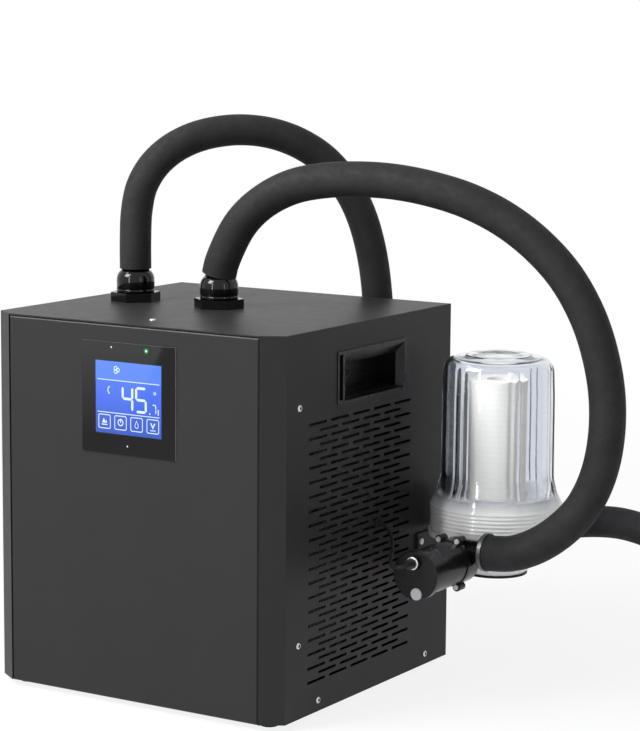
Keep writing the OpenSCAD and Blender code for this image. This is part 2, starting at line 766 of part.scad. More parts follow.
module control_board() color([0.1, 0.3, 0.16]) place()
    translate([glass_x, glass_t - glass_proud, glass_mid_z]) {
        w = glass_w + 2 * board_edge;
        h = glass_h + 2 * board_edge;
        translate([-w / 2, 0, -h / 2]) cube([w, board_t, h]);
        for (p = [[-0.36, -0.3, 1, 0.5], [-0.06, -0.34, 1.2, 0.35], [0.2, -0.3, 0.8, 0.7],
                  [-0.34, 0.14, 0.7, 0.3], [0, 0.1, 1.4, 0.25], [0.24, 0.16, 0.6, 0.6]])
            translate([w * p[0], board_t, h * p[1]]) cube([chip_l * p[2], chip_l * p[3], chip_l * 0.8]);
    }

// Cold circuit
module compressor() color(plastic_black) place() translate([comp_x, comp_y, 0]) {
    dome = comp_dia * comp_dome_share;
    translate([0, 0, comp_z]) union() {
        rotate_extrude() union() {
            square([comp_dia / 2, comp_h - dome]);
            translate([0, comp_h - dome]) intersection() {
                circle(r = dome);
                square([comp_dia, dome]);
            }
            translate([0, comp_h - dome]) square([comp_dia / 2 - dome * 0.4, dome * 0.75]);
        }
        translate([0, 0, comp_h - dome]) cylinder(d = gas_dia * 1.5, h = dome);
    }
    translate([0, 0, comp_z - comp_plate_t]) difference() {
        union() {
            cylinder(d = comp_dia * 0.8, h = comp_plate_t);
            for (a = comp_foot_angles) rotate([0, 0, a]) translate([0, -comp_foot_dia / 2, 0])
                cube([comp_foot_r, comp_foot_dia, comp_plate_t]);
            for (a = comp_foot_angles) rotate([0, 0, a]) translate([comp_foot_r, 0, 0])
                cylinder(d = comp_foot_dia, h = comp_plate_t);
        }
        for (a = comp_foot_angles) rotate([0, 0, a]) translate([comp_foot_r, 0, -over])
            cylinder(d = screw_dia * 2, h = comp_plate_t + 2 * over);
    }
}
module compressor_grommets() color([0.2, 0.2, 0.2]) place() translate([comp_x, comp_y, in_floor_z])
    for (a = comp_foot_angles) rotate([0, 0, a]) translate([comp_foot_r, 0, 0]) {
        rotate_extrude() polygon([[0, 0], [comp_foot_dia / 2, 0], [comp_foot_dia * 0.4, comp_foot_h / 2],
                                  [comp_foot_dia / 2, comp_foot_h], [0, comp_foot_h]]);
        cylinder(d = screw_dia * 2 - 2 * screw_gap, h = comp_foot_h + comp_plate_t);
    }

module condenser_fins() color([0.7, 0.72, 0.74]) place() translate([cond_x, cond_y - cond_w / 2, cond_z]) {
    step = cond_w / cond_fins;
    core = cond_t * cond_core_share;
    translate([(cond_t - core) / 2, 0, 0]) cube([core, cond_w, cond_h]);
    for (i = [0:cond_fins]) translate([0, i * (cond_w - cond_end_t) / cond_fins, 0])
        cube([cond_t, i == 0 || i == cond_fins ? cond_end_t : step / 4, cond_h]);
}
module condenser_bends() color(copper) place() for (side = [0, 1]) for (i = [0:bend_rows - 2])
    if (i % 2 == side) {
        y = cond_y + (side == 0 ? -1 : 1) * cond_w / 2;
        translate([cond_x + cond_t / 2, y, cond_z + (i + 1) * bend_step])
            rotate([0, 90, side == 0 ? 180 : 0]) rotate_extrude(angle = 180)
                translate([bend_step / 2, 0]) circle(d = bend_dia, $fn = 16);
    }

module fan_shroud() color(plastic_black) place() {
    w = cond_w;
    x0 = cond_x - shroud_d;
    difference() {
        span([x0, cond_y - w / 2, cond_z], [cond_x, cond_y + w / 2, cond_z + cond_h]);
        span([x0 + shroud_t, cond_y - w / 2 + shroud_t, cond_z + shroud_t],
             [cond_x + over, cond_y + w / 2 - shroud_t, cond_z + cond_h - shroud_t]);
        translate([x0 - over, cond_y, fan_z]) rod_x(fan_dia + 2 * fan_gap, shroud_t + 2 * over);
    }
    for (a = [45, 135, 225, 315]) translate([x0 - strut_drop, cond_y, fan_z]) rotate([a, 0, 0]) {
        translate([strut_t * 0.1, -strut_w / 2, motor_can_dia / 2 - strut_w])
            cube([strut_t * 0.8, strut_w, fan_dia / 2 + fan_gap + 2.5 * strut_w - motor_can_dia / 2]);
        translate([strut_t * 0.1, -strut_w / 2, fan_dia / 2 + fan_gap + strut_w / 2])
            cube([strut_drop + shroud_t / 2, strut_w, 1.2 * strut_w]);
    }
    translate([x0 - strut_drop, cond_y, fan_z]) difference() {
        rod_x(motor_can_dia, strut_t);
        translate([-over, 0, 0]) rod_x(fan_shaft_dia * 2.5, strut_t + 2 * over);
    }
}
fan_plate_x = cond_x - shroud_d - strut_drop;
module fan_motor() color([0.3, 0.31, 0.33]) place() translate([fan_plate_x, cond_y, fan_z]) {
    translate([-motor_can_l, 0, 0]) rod_x(motor_can_dia, motor_can_l);
    rod_x(fan_shaft_dia, strut_t + hub_l);
}
module fan_blades() color(plastic_black) place() translate([fan_plate_x + strut_t + hair, cond_y, fan_z])
    difference() {
        union() {
            rod_x(hub_dia / 2, hub_l + hair);
            translate([strut_drop - strut_t, 0, 0]) rod_x(hub_dia, hub_l - strut_drop + strut_t);
            for (i = [0:fan_blade_count - 1]) rotate([i * 360 / fan_blade_count, 0, 0])
                translate([fan_x - fan_plate_x - strut_t - hair, 0, 0])
                    rotate([0, 0, blade_twist]) fan_blade();
        }
        translate([-over, 0, 0]) rod_x(fan_shaft_dia + 2 * run_gap, hub_l + 2 * over);
    }
module fan_blade() rotate([90, 0, 90]) linear_extrude(blade_t, center = true) polygon([
    [-fan_dia * 0.08, hub_dia * 0.45], [fan_dia * 0.08, hub_dia * 0.45],
    [fan_dia * 0.15, fan_dia * 0.44], [fan_dia * 0.08, fan_dia * 0.485],
    [-fan_dia * 0.08, fan_dia * 0.485], [-fan_dia * 0.12, fan_dia * 0.42]]);

module barrel_shell() color([0.2, 0.2, 0.21]) place() translate([barrel_x, barrel_y, barrel_z]) difference() {
    cylinder(d = barrel_dia, h = barrel_h);
    translate([0, 0, barrel_wall]) cylinder(d = barrel_dia - 2 * barrel_wall, h = barrel_h);
}
port_off = barrel_dia * 0.19;
module at_ports() for (s = [-1, 1]) translate([barrel_x + s * port_off, barrel_y, 0]) children();
module barrel_lid() color([0.24, 0.24, 0.25]) place() difference() {
    union() {
        translate([barrel_x, barrel_y, barrel_z + barrel_h])
            cylinder(d = barrel_dia + 2 * lid_over, h = lid_h);
        at_ports() translate([0, 0, barrel_top_z]) cylinder(d = barrel_port_dia, h = barrel_port_h);
    }
    at_ports() translate([0, 0, barrel_z + barrel_h - over])
        cylinder(d = tube_bore, h = lid_h + barrel_port_h + 2 * over);
    translate([barrel_x, barrel_y - sensor_y, barrel_top_z - lid_h / 2]) cylinder(d = sensor_dia, h = lid_h);
}
sensor_y = 40;
sensor_dia = 8;
sensor_l = 24;
module water_sensor() color([0.75, 0.76, 0.78]) place()
    translate([barrel_x, barrel_y - sensor_y, barrel_top_z - lid_h / 2]) {
        cylinder(d = sensor_dia - 2 * screw_gap, h = sensor_l + lid_h / 2);
        translate([0, 0, lid_h / 2]) cylinder(d = sensor_dia * 1.6, h = sensor_l / 3, $fn = 6);
    }
module barrel_coil() color(zinc) place() {
    rings = 24;
    path = [for (i = [0:coil_turns * rings]) let (a = i * 360 / rings)
        [barrel_x + coil_r * cos(a), barrel_y + coil_r * sin(a), coil_low_z + coil_pitch * i / rings]];
    echo(str("least gap between the turns of the barrel's coil: ", coil_pitch - coil_tube_dia, " mm"));
    tube(path, coil_tube_dia, [0, 0, 1], 6);
    translate([barrel_x + coil_r, barrel_y, barrel_z + barrel_wall])
        cylinder(d = coil_tube_dia, h = coil_low_z - barrel_z - barrel_wall);
}
module barrel_stand() color(steel_black) place() translate([barrel_x, barrel_y, in_floor_z]) difference() {
    union() {
        cylinder(d = barrel_dia, h = stand_plate_t);
        translate([0, 0, stand_h - stand_plate_t]) cylinder(d = barrel_dia, h = stand_plate_t);
        for (a = [30:120:270]) rotate([0, 0, a]) translate([barrel_dia * 0.3, -barrel_dia * 0.08, 0])
            cube([stand_plate_t, barrel_dia * 0.16, stand_h]);
    }
    translate([0, 0, -over]) cylinder(d = barrel_dia * 0.5, h = stand_h + 2 * over);
}
module water_pipe(from_x, to_x) color([0.85, 0.86, 0.87]) place() {
    rise = pipe_high_z - pipe_low_z;
    path = smooth([[from_x, fitting_y, pipe_low_z], [from_x, fitting_y, pipe_low_z + rise * 0.2],
                   [from_x + (to_x - from_x) * 0.5, fitting_y, pipe_low_z + rise * 0.5],
                   [to_x, fitting_y, pipe_high_z - rise * 0.2], [to_x, fitting_y, pipe_high_z]], 4);
    tube(path, pipe_dia, [0, 1, 0], 12, [0, 0, 1], [0, 0, 1]);
}
module supply_pipe() water_pipe(barrel_x + port_off, supply_x);
module return_pipe() water_pipe(barrel_x - port_off, return_x);

module copper_pipe(points, d, start_way, end_way) color(copper) place()
    tube(smooth(points, 4), d, [0.2, 0.3, 1], 8, start_way, end_way);
comp_top_z = comp_z + comp_h;
cond_mid_x = cond_x + cond_t / 2;
cond_side_y = cond_y + cond_w / 2;
gas_z = cond_z + cond_h - bend_step / 2;
liquid_z = cond_z + bend_step / 2;
barrel_back_y = barrel_y + barrel_dia / 2;
module hot_gas_pipe() copper_pipe([
    [comp_x, comp_y, comp_top_z], [comp_x, comp_y, comp_top_z + pipe_bend],
    [comp_x + pipe_bend, comp_y, comp_top_z + 2 * pipe_bend],
    [cond_mid_x - pipe_bend, cond_side_y + pipe_bend, gas_z],
    [cond_mid_x, cond_side_y + pipe_bend * 0.7, gas_z], [cond_mid_x, cond_side_y, gas_z]],
    gas_dia, [0, 0, 1], [0, -1, 0]);
suction_x = comp_x - comp_dia / 2;
suction_low_z = comp_z + comp_h / 3;
suction_z = barrel_z + barrel_h / 2;
module suction_pipe() copper_pipe([
    [suction_x, comp_y, suction_low_z], [suction_x - pipe_bend / 2, comp_y, suction_low_z],
    [suction_x - pipe_bend, comp_y, suction_low_z + pipe_bend],
    [suction_x - pipe_bend, comp_y, suction_z - 1.5 * pipe_bend],
    [suction_x - pipe_bend, comp_y - pipe_bend / 4, suction_z - pipe_bend / 4],
    [barrel_x, barrel_back_y + pipe_bend, suction_z], [barrel_x, barrel_back_y, suction_z]],
    suction_dia, [-1, 0, 0], [0, -1, 0]);
drier_y = cond_side_y + bend_step / 2 + bend_dia / 2 + drier_dia;
drier_low_z = liquid_z + pipe_bend;
drier_end_z = drier_low_z + drier_l + pipe_bend;
neck_dia = 1.3 * gas_dia;
module filter_drier() color(copper) place() {
    translate([cond_mid_x, cond_side_y, liquid_z]) rod_y(gas_dia, drier_y - cond_side_y);
    translate([cond_mid_x, drier_y, liquid_z - neck_dia / 2])
        cylinder(d = neck_dia, h = drier_end_z - liquid_z + neck_dia / 2);
    translate([cond_mid_x, drier_y, drier_low_z]) cylinder(d = drier_dia, h = drier_l);
}
cap_z = comp_top_z + pipe_bend / 2;
cap_high_z = comp_top_z + pipe_bend * 0.8;
module capillary_tube() copper_pipe([
    [cond_mid_x, drier_y, drier_end_z], [cond_mid_x, drier_y, comp_top_z - pipe_bend],
    [cond_mid_x - pipe_bend, drier_y + pipe_bend / 2, cap_high_z],
    [comp_x, comp_y + comp_dia / 3, cap_high_z], [barrel_x + 1.5 * pipe_bend, comp_y + pipe_bend / 4, cap_z],
    [barrel_x, barrel_back_y + pipe_bend, cap_z], [barrel_x, barrel_back_y, cap_z]],
    cap_dia, [0, 0, 1], [0, -1, 0]);

// Top fittings
module fitting(x, turn) translate([x, fitting_y, top_z]) difference() {
    union() {
        rotate([0, 0, turn]) cylinder(d = hex_dia, h = hex_h, $fn = 6);
        translate([0, 0, -thread_l - sheet]) cylinder(d = thread_dia, h = thread_l + sheet);
        cylinder(d = tube_dia, h = hex_h + nut_h);
    }
    translate([0, 0, -thread_l - sheet - over])
        cylinder(d = tube_bore, h = thread_l + sheet + hex_h + nut_h + 2 * over);
}
module supply_fitting() color(plastic_black) place() fitting(supply_x, supply_turn);
module return_fitting() color(plastic_black) place() fitting(return_x, return_turn);
module clamp_nut(x) translate([x, fitting_y, top_z + hex_h]) difference() {
    r = nut_dia / 2;
    top_r = nut_top_dia * 0.475;
    union() {
        rotate_extrude() polygon(concat(
            [[0, 0], [r - nut_rib / 2, 0], [r, nut_rib / 2], [r, nut_straight_h]],
            [for (p = dome_shares) [r + (top_r - r) * p[0], nut_h * p[1]]],
            [[0, nut_h * 0.92]]));
        for (i = [0:nut_ribs - 1]) rotate([0, 0, i * 360 / nut_ribs])
            translate([tube_dia / 2, -nut_rib, nut_h / 2])
                cube([nut_top_dia * 0.44 - tube_dia / 2, 2 * nut_rib, nut_h / 2]);
    }
    translate([0, 0, -over]) cylinder(d = tube_dia + 2 * nut_gap, h = nut_h + 2 * over);
}
module supply_clamp_nut() color(plastic_black) place() clamp_nut(supply_x);
module return_clamp_nut() color(plastic_black) place() clamp_nut(return_x);
module fitting_locknuts() color(plastic_black) place() for (x = [return_x, supply_x])
    translate([x, fitting_y, in_top_z - locknut_h]) difference() {
        cylinder(d = locknut_flats / cos(30), h = locknut_h, $fn = 6);
        translate([0, 0, -over]) cylinder(d = thread_dia, h = locknut_h + 2 * over);
    }

// Electrics
seat_y = cab_d - sheet;                 // outer face of the rear panel
module terminal_box() color([0.55, 0.56, 0.58]) place()
    translate([screw_l + seam, corner_d + lip * 2, in_floor_z]) {
        cube([box_w, box_d, box_h]);
        translate([-box_lid_over / 2, -box_lid_over / 2, box_h - box_lid_h])
            cube([box_w + box_lid_over, box_d + box_lid_over, box_lid_h + box_lid_over]);
        for (x = [box_w * 0.3, box_w * 0.7])
            translate([x, box_d, box_h * 0.3]) rod_y(cable_dia * 3, box_lid_h);
    }
// A body that sits in a cutout of the rear panel, with a flange on its outside
module rear_fixture(x, w, h, d) {
    span([x - w / 2 + hair, seat_y - d, inlet_z - h / 2 + hair],
         [x + w / 2 - hair, seat_y, inlet_z + h / 2 - hair]);
    span([x - w / 2 - switch_flange, seat_y, inlet_z - h / 2 - switch_flange],
         [x + w / 2 + switch_flange, seat_y + switch_flange, inlet_z + h / 2 + switch_flange]);
}
module power_inlet() color(plastic_black) place() difference() {
    rear_fixture(inlet_x, inlet_w, inlet_h, inlet_d);
    difference() {
        span([inlet_x - inlet_w / 4, seat_y - inlet_d * 0.7, inlet_z - inlet_h * 0.32],
             [inlet_x + inlet_w / 4, seat_y + switch_flange + over, inlet_z + inlet_h * 0.32]);
        for (p = [[-0.14, -0.12], [0, 0.1], [0.14, -0.12]])
            translate([inlet_x + p[0] * inlet_w - pin_t / 2, seat_y - inlet_d,
                       inlet_z + p[1] * inlet_h - pin_h / 2]) cube([pin_t, inlet_d * 0.9, pin_h]);
    }
}
rocker_y = cab_d - rocker_in;
module switch_housing() color(plastic_black) place() difference() {
    rear_fixture(switch_x, switch_w, switch_h, switch_d);
    translate([switch_x - switch_w / 2 + switch_flange, seat_y - switch_d * 0.6,
               inlet_z - switch_h / 2 + switch_flange])
        cube([switch_w - 2 * switch_flange, switch_d, switch_h - 2 * switch_flange]);
    translate([switch_x - switch_w / 2 + 2 * hair, rocker_y, inlet_z])
        rod_x(rocker_pin_dia + 2 * run_gap, switch_w - 4 * hair);
}
module switch_rocker() color([0.5, 0.05, 0.05]) place() translate([switch_x, rocker_y, inlet_z]) {
    half = switch_w / 2 - switch_flange - hair;
    tall = switch_h / 2 - switch_flange - 3 * hair;
    low = rocker_rise - rocker_t;
    translate([-half, 0, 0]) rotate([90, 0, 90]) linear_extrude(2 * half) rotate(-rocker_tilt) polygon([
        [low, -tall * 0.45], [low, tall * 0.45], [low * -0.5, tall * 0.9], [rocker_rise, tall * 0.9],
        [rocker_rise * 0.6, 0], [rocker_rise, -tall * 0.9], [low * -0.5, -tall * 0.9]]);
    translate([-switch_w / 2 + 4 * hair, 0, 0]) rod_x(rocker_pin_dia, switch_w - 8 * hair);
}

// Side bracket, pump and filter
function bracket_screw_ys() = [filter_y - bracket_w / 2 + bracket_screw_in / 2,
                               filter_y + bracket_w / 2 - bracket_screw_in];
module head_screws() for (a = [45, 135, 225, 315]) translate([filter_x, filter_y, body_low_z - bracket_t])
    rotate([0, 0, a]) translate([head_screw_r, 0, 0]) mirror([0, 0, 1]) children();
module side_bracket() color(steel_black) place() difference() {
    union() {
        span([cab_w, filter_y - bracket_w / 2, body_low_z - bracket_t],
             [filter_x, filter_y + bracket_w / 2, body_low_z]);
        translate([filter_x, filter_y, body_low_z - bracket_t]) cylinder(d = bracket_w, h = bracket_t);
        span([cab_w, filter_y - bracket_w / 2, body_low_z - bracket_t],
             [cab_w + bracket_t, filter_y + bracket_w / 2, body_low_z + bracket_up]);
    }
    for (y = bracket_screw_ys()) translate([cab_w - screw_l, y, pump_z])
        rod_x(screw_dia + 2 * screw_gap, screw_l * 2);
    head_screws() screw_hole();
}
module pump_lugs() translate([pump_x, flange_y, pump_z]) for (a = lug_angles) rotate([0, a, 0])
    translate([lug_r, 0, 0]) children();
module mounting_screws() color(zinc) place() {
    for (y = bracket_screw_ys()) translate([cab_w + bracket_t, y, pump_z]) rotate([0, 90, 0]) screw();
    head_screws() screw();
    pump_lugs() rotate([90, 0, 0]) scale([pump_screw_share, pump_screw_share, 1]) screw();
}
module at_lugs() for (a = lug_angles) rotate(a) translate([lug_r, 0]) children();
module pump_motor() color(plastic_black) place() translate([pump_x, pump_front_y, pump_z]) difference() {
    union() {
        rotate([-90, 0, 0]) rotate_extrude() polygon([
            [0, 0], [motor_dia / 2 - motor_bevel, 0], [motor_dia / 2, motor_bevel], [motor_dia / 2, cap_t],
            [motor_dia / 2 - motor_neck, cap_t + motor_neck / 2],
            [motor_dia / 2 - motor_neck, motor_l + flange_t / 2], [0, motor_l + flange_t / 2]]);
        translate([0, motor_l, 0]) rotate([-90, 0, 0]) linear_extrude(flange_t) difference() {
            union() {
                circle(d = head_dia);
                at_lugs() circle(d = lug_dia);
            }
            at_lugs() circle(d = screw_dia);
        }
    }
    translate([0, motor_l + flange_t - impeller_shaft_dia, 0])
        rod_y(impeller_shaft_dia + 2 * run_gap, impeller_shaft_dia + over);
}
module pump_head() color(plastic_black) place() difference() {
    union() {
        translate([pump_x, pump_head_y, pump_z]) rod_y(head_dia, pump_head_l * head_front_share);
        translate([pump_x, pump_head_y, pump_z]) rod_y(head_dia * head_neck_share, pump_head_l);
        translate([pump_x, pump_head_y, pump_z]) for (a = lug_angles) rotate([0, a, 0])
            translate([lug_r, 0, 0]) rod_y(lug_dia, flange_t);
        translate([pump_x, pump_head_end_y, pump_z])
            rod_y(spigot_dia, filter_y - body_dia / 2 - port_l - pump_head_end_y);
        translate([pump_x, outlet_y, outlet_z]) rod_x(outlet_dia, outlet_end_x - pump_x);
    }
    translate([pump_x, pump_head_y - over, pump_z])
        rod_y(head_dia - 2 * pump_wall, pump_head_l * head_front_share - pump_wall + over);
    translate([pump_x, pump_head_y, pump_z]) rod_y(spigot_bore, filter_y - pump_head_y);
    translate([pump_x + head_dia / 4, outlet_y, outlet_z]) rod_x(outlet_bore, outlet_end_x - pump_x);
    translate([pump_x, pump_head_y, pump_z]) for (a = lug_angles) rotate([0, a, 0])
        translate([lug_r, -over, 0]) rod_y(screw_dia, flange_t);
}
module pump_impeller() color([0.8, 0.81, 0.82]) place() translate([pump_x, pump_head_y + 2 * hair, pump_z]) {
    rod_y(impeller_dia, impeller_t / 4);
    for (i = [0:vanes - 1]) rotate([0, i * 360 / vanes, 0])
        translate([impeller_shaft_dia / 4, 0, -vane_t / 2])
            cube([impeller_dia / 2 - impeller_shaft_dia / 2, impeller_t, vane_t]);
    rod_y(impeller_shaft_dia * 1.5, impeller_t);
    translate([0, -impeller_shaft_dia, 0]) rod_y(impeller_shaft_dia, impeller_shaft_dia + impeller_t);
}
module pump_gland() color(plastic_black) place() translate([pump_x, pump_front_y - gland_h, gland_z]) {
    rod_y(gland_dia * 0.72, gland_h);
    translate([0, gland_h * 0.55, 0]) rotate([-90, 0, 0])
        cylinder(d = gland_dia, h = gland_h * 0.45, $fn = 6);
}
module pump_vent_plug() color([0.6, 0.61, 0.63]) place()
    translate([pump_x + vent_side, pump_front_y - vent_t, vent_z]) rod_y(vent_dia, vent_t);
module hose_clip() color(zinc) place() translate([outlet_end_x + clip_in, outlet_y, outlet_z]) difference() {
    rod_x(loop_dia + 2 * clip_t + 2 * hair, clip_w);
    translate([-over, 0, 0]) rod_x(loop_dia + 2 * hair, clip_w + 2 * over);
}

module filter_head() color([0.93, 0.94, 0.95]) place() translate([filter_x, filter_y, 0]) difference() {
    union() {
        rotate_extrude() polygon([
            [0, body_low_z], [body_dia / 2 - body_round, body_low_z], [body_dia / 2, body_low_z + body_round],
            [body_dia / 2, rim_z], [rim_dia / 2, rim_z], [rim_dia / 2, rim_z + rim_t],
            [collar_dia / 2, rim_z + rim_t], [collar_dia / 2, collar_top_z], [seat_dia / 2, collar_top_z],
            [seat_dia / 2, cartridge_z], [nipple_dia / 2, cartridge_z],
            [nipple_dia / 2, cartridge_z + nipple_h], [0, cartridge_z + nipple_h]]);
        for (i = [0:thread_ribs - 1]) rotate_extrude() let (
            step = (collar_top_z - rim_z - rim_t) / (thread_ribs + 0.5), z = rim_z + rim_t + step * (i + 0.6))
            polygon([[collar_dia / 2 - thread_rib, z - thread_rib], [collar_dia / 2 + thread_rib, z],
                     [collar_dia / 2 - thread_rib, z + thread_rib]]);
        translate([0, -body_dia / 2 - port_l, pump_z]) rod_y(port_dia, port_l + body_dia / 4);
        inlet_port(port_dia, leg_dia, 0, elbow_l);
    }
    translate([0, 0, rim_z + rim_t]) difference() {
        cylinder(d = collar_bore, h = collar_top_z);
        translate([0, 0, -over]) cylinder(d = seat_dia, h = collar_top_z + 2 * over);
    }
    translate([0, -body_dia / 2 - port_l - over, pump_z]) rod_y(port_bore, body_dia / 2 + port_l + over);
    translate([0, 0, pump_z]) cylinder(d = port_bore, h = bowl_h);
    inlet_port(port_bore, leg_bore, inlet_low_y, elbow_l + over);
    translate([0, inlet_low_y, elbow_z]) cylinder(d = port_bore * 0.8, h = rim_t * 2 + rim_z - elbow_z);
    translate([-filter_x, -filter_y, 0]) head_screws() screw_hole();
}
// The inlet port at the back and its elbow, which turns the hose to the right
module inlet_port(d, leg_dia, from_y, leg_l) {
    translate([0, from_y, elbow_z]) rod_y(d, elbow_y - from_y + d / 2);
    translate([0, elbow_y, elbow_z]) rotate([0, -elbow_turn, 0]) rod_x(leg_dia, leg_l);
}

module filter_cartridge() color([0.96, 0.96, 0.95]) place()
    translate([filter_x, filter_y, cartridge_z]) difference() {
        union() {
            translate([0, 0, cartridge_cap_t])
                cylinder(d = cartridge_dia, h = cartridge_l - 2 * cartridge_cap_t);
            for (z = [0, cartridge_l - cartridge_cap_t]) translate([0, 0, z])
                cylinder(d = cartridge_dia + cap_rim, h = cartridge_cap_t);
        }
        translate([0, 0, -over]) cylinder(d = cartridge_bore, h = cartridge_l + 2 * over);
    }

module bowl_seal() color([0.1, 0.1, 0.1]) place() translate([filter_x, filter_y, collar_top_z + seal_sec])
    rotate_extrude() translate([seal_r, 0]) circle(d = 2 * seal_sec, $fn = 24);

module filter_bowl() color(clear_blue) place() translate([filter_x, filter_y, mouth_z]) {
    r = bowl_dia / 2;
    s = shoulder;
    flare = bowl_h * 0.16;
    difference() {
        union() {
            rotate_extrude() union() {
                polygon([[0, 0], [mouth_dia / 2, 0], [mouth_dia / 2, mouth_h * 0.85], [r, mouth_h + flare],
                         [r, bowl_h - s], [0, bowl_h - s]]);
                square([r - s, bowl_h]);
                translate([r - s, bowl_h - s]) intersection() {
                    circle(r = s);
                    square(s);
                }
                translate([0, bowl_h]) square([crown_dia / 2, crown_t]);
            }
            for (i = [0:bowl_ribs - 1])
                rotate([0, 0, rib_turn + floor(i / 2) * 720 / bowl_ribs + (i % 2 - 0.5) * rib_spread])
                translate([r - rib_out, -rib_w / 2, mouth_h + flare / 2])
                    cube([2 * rib_out, rib_w, bowl_h - mouth_h - flare / 2 - s * 1.2]);
            for (z = [mouth_h * 0.12, mouth_h * 0.36, mouth_h * 0.6]) translate([0, 0, z])
                cylinder(d = mouth_dia + 2 * rib_out, h = mouth_h * 0.1);
        }
        rotate_extrude() union() {
            polygon([[0, -over], [mouth_dia / 2 - mouth_wall, -over], [mouth_dia / 2 - mouth_wall, mouth_h],
                     [r - bowl_wall, mouth_h], [r - bowl_wall, bowl_h - s], [0, bowl_h - s]]);
            square([r - s, bowl_h - bowl_wall]);
            translate([r - s, bowl_h - s]) intersection() {
                circle(r = s - bowl_wall);
                square(s);
            }
        }
    }
    boss_low = cartridge_z + cartridge_l + hair - mouth_z;
    translate([0, 0, boss_low]) cylinder(d = boss_dia, h = bowl_h - boss_low - bowl_wall / 2);
}

// Hoses and cable
module cord(route, d, first_side, corners, start_way, end_way) {
    echo(str("length of this cord: ", round(route_length(route)), " mm"));
    tube(route, d, first_side, corners, start_way, end_way);
}
module loop_hose() color(foam_black) place() cord(loop_route, loop_dia, [0, 1, 0], 12, [0, 0, 1], [-1, 0, 0]);
module return_hose() color(foam_black) place() cord(return_route, bath_dia, [0, 1, 0], 12, [0, 0, 1]);
module inlet_hose() color(foam_black) place()
    cord(inlet_route, bath_dia, [0, 1, 0], 12, [cos(elbow_turn), 0, sin(elbow_turn)]);
module pump_cable() color(plastic_black) place()
    cord(cable_route, cable_dia, [0, 0, 1], 8, [1, 0, 0], [0, 1, 0]);
module hose_tail(route) {
    n = len(route) - 1;
    way = unit(route[n] - route[n - 1]);
    translate(route[n]) rotate([0, 90, atan2(way[1], way[0])]) difference() {
        union() {
            cylinder(d = bath_dia, h = tail_l * 0.3);
            cylinder(d = tail_dia, h = tail_l);
        }
        translate([0, 0, tail_l * 0.2]) cylinder(d = tube_bore, h = tail_l);
    }
}
module return_hose_tail() color(plastic_black) place() hose_tail(return_route);
module inlet_hose_tail() color(plastic_black) place() hose_tail(inlet_route);

base_pan();
front_panel();
right_side_panel();
left_side_panel();
rear_panel();
top_cover();
rubber_feet();
panel_screws();
right_handle();
left_handle();
cable_grommet();
control_glass();
lcd_display();
control_board();
status_lamp();
compressor();
compressor_grommets();
condenser_fins();
condenser_bends();
fan_shroud();
fan_motor();
fan_blades();
barrel_shell();
barrel_lid();
barrel_coil();
barrel_stand();
supply_pipe();
return_pipe();
hot_gas_pipe();
suction_pipe();
filter_drier();
capillary_tube();
water_sensor();
supply_fitting();
return_fitting();
supply_clamp_nut();
return_clamp_nut();
fitting_locknuts();
terminal_box();
power_inlet();
switch_housing();
switch_rocker();
side_bracket();
mounting_screws();
pump_motor();
pump_head();
pump_impeller();
pump_gland();
pump_vent_plug();
pump_cable();
hose_clip();
filter_head();
filter_bowl();
filter_cartridge();
bowl_seal();
loop_hose();
return_hose();
inlet_hose();
return_hose_tail();
inlet_hose_tail();
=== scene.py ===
import json
import math

import bpy
from mathutils import Matrix, Vector


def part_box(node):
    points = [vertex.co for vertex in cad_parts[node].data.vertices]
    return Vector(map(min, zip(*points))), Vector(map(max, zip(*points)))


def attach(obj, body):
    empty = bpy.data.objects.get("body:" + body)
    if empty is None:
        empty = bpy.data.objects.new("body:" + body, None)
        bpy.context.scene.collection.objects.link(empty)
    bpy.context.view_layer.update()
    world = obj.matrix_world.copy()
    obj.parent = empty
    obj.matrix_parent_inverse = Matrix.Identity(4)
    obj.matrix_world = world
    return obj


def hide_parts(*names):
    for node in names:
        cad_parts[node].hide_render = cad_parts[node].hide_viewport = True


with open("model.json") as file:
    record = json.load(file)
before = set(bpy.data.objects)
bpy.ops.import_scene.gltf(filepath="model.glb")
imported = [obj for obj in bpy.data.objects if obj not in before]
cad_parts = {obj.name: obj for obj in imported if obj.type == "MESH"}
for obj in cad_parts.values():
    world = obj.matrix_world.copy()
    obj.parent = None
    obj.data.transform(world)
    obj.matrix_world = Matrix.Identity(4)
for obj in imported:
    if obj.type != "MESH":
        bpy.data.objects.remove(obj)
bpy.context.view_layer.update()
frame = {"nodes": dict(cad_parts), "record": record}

nodes = frame["nodes"]

# Places are written in millimetres from the cabinet's left front corner on the floor,
# as in the part's source, and at() turns them into metres in the row frame.
MM = 0.001
MID_X, MID_Y = 258.7, 211.25
TOP_Z = 406
GLASS_X, GLASS_Y, GLASS_TOP_Z, GLASS_W, GLASS_H = 181, -1.5, 386, 119, 117
LCD_Y, LCD_TOP_Z, LCD_W, LCD_H = -1.2, 366, 84, 76
FITTING_Y, SUPPLY_X, RETURN_X = 172, 176, 64
FILTER_X, FILTER_Y, MOUTH_Z = 445, 315, 168.3
SCREW_DIA, SCREW_HEAD = 4, 1.6
LOOP_DIA, BATH_DIA, CABLE_DIA = 38, 35, 4


def at(x, y, z):
    return Vector(((x - MID_X) * MM, (y - MID_Y) * MM, z * MM))


# ---------- camera, as solved from the photo ----------
CAMERA_PLACE = (1690.56, -2050.07, 733.90)
CAMERA_YAW, CAMERA_PITCH, CAMERA_ROLL = 31.927, 8.278, 0.440
CAMERA_LENS, CAMERA_SENSOR = 122.51, 36
CAMERA_CLIP = (0.1, 40)


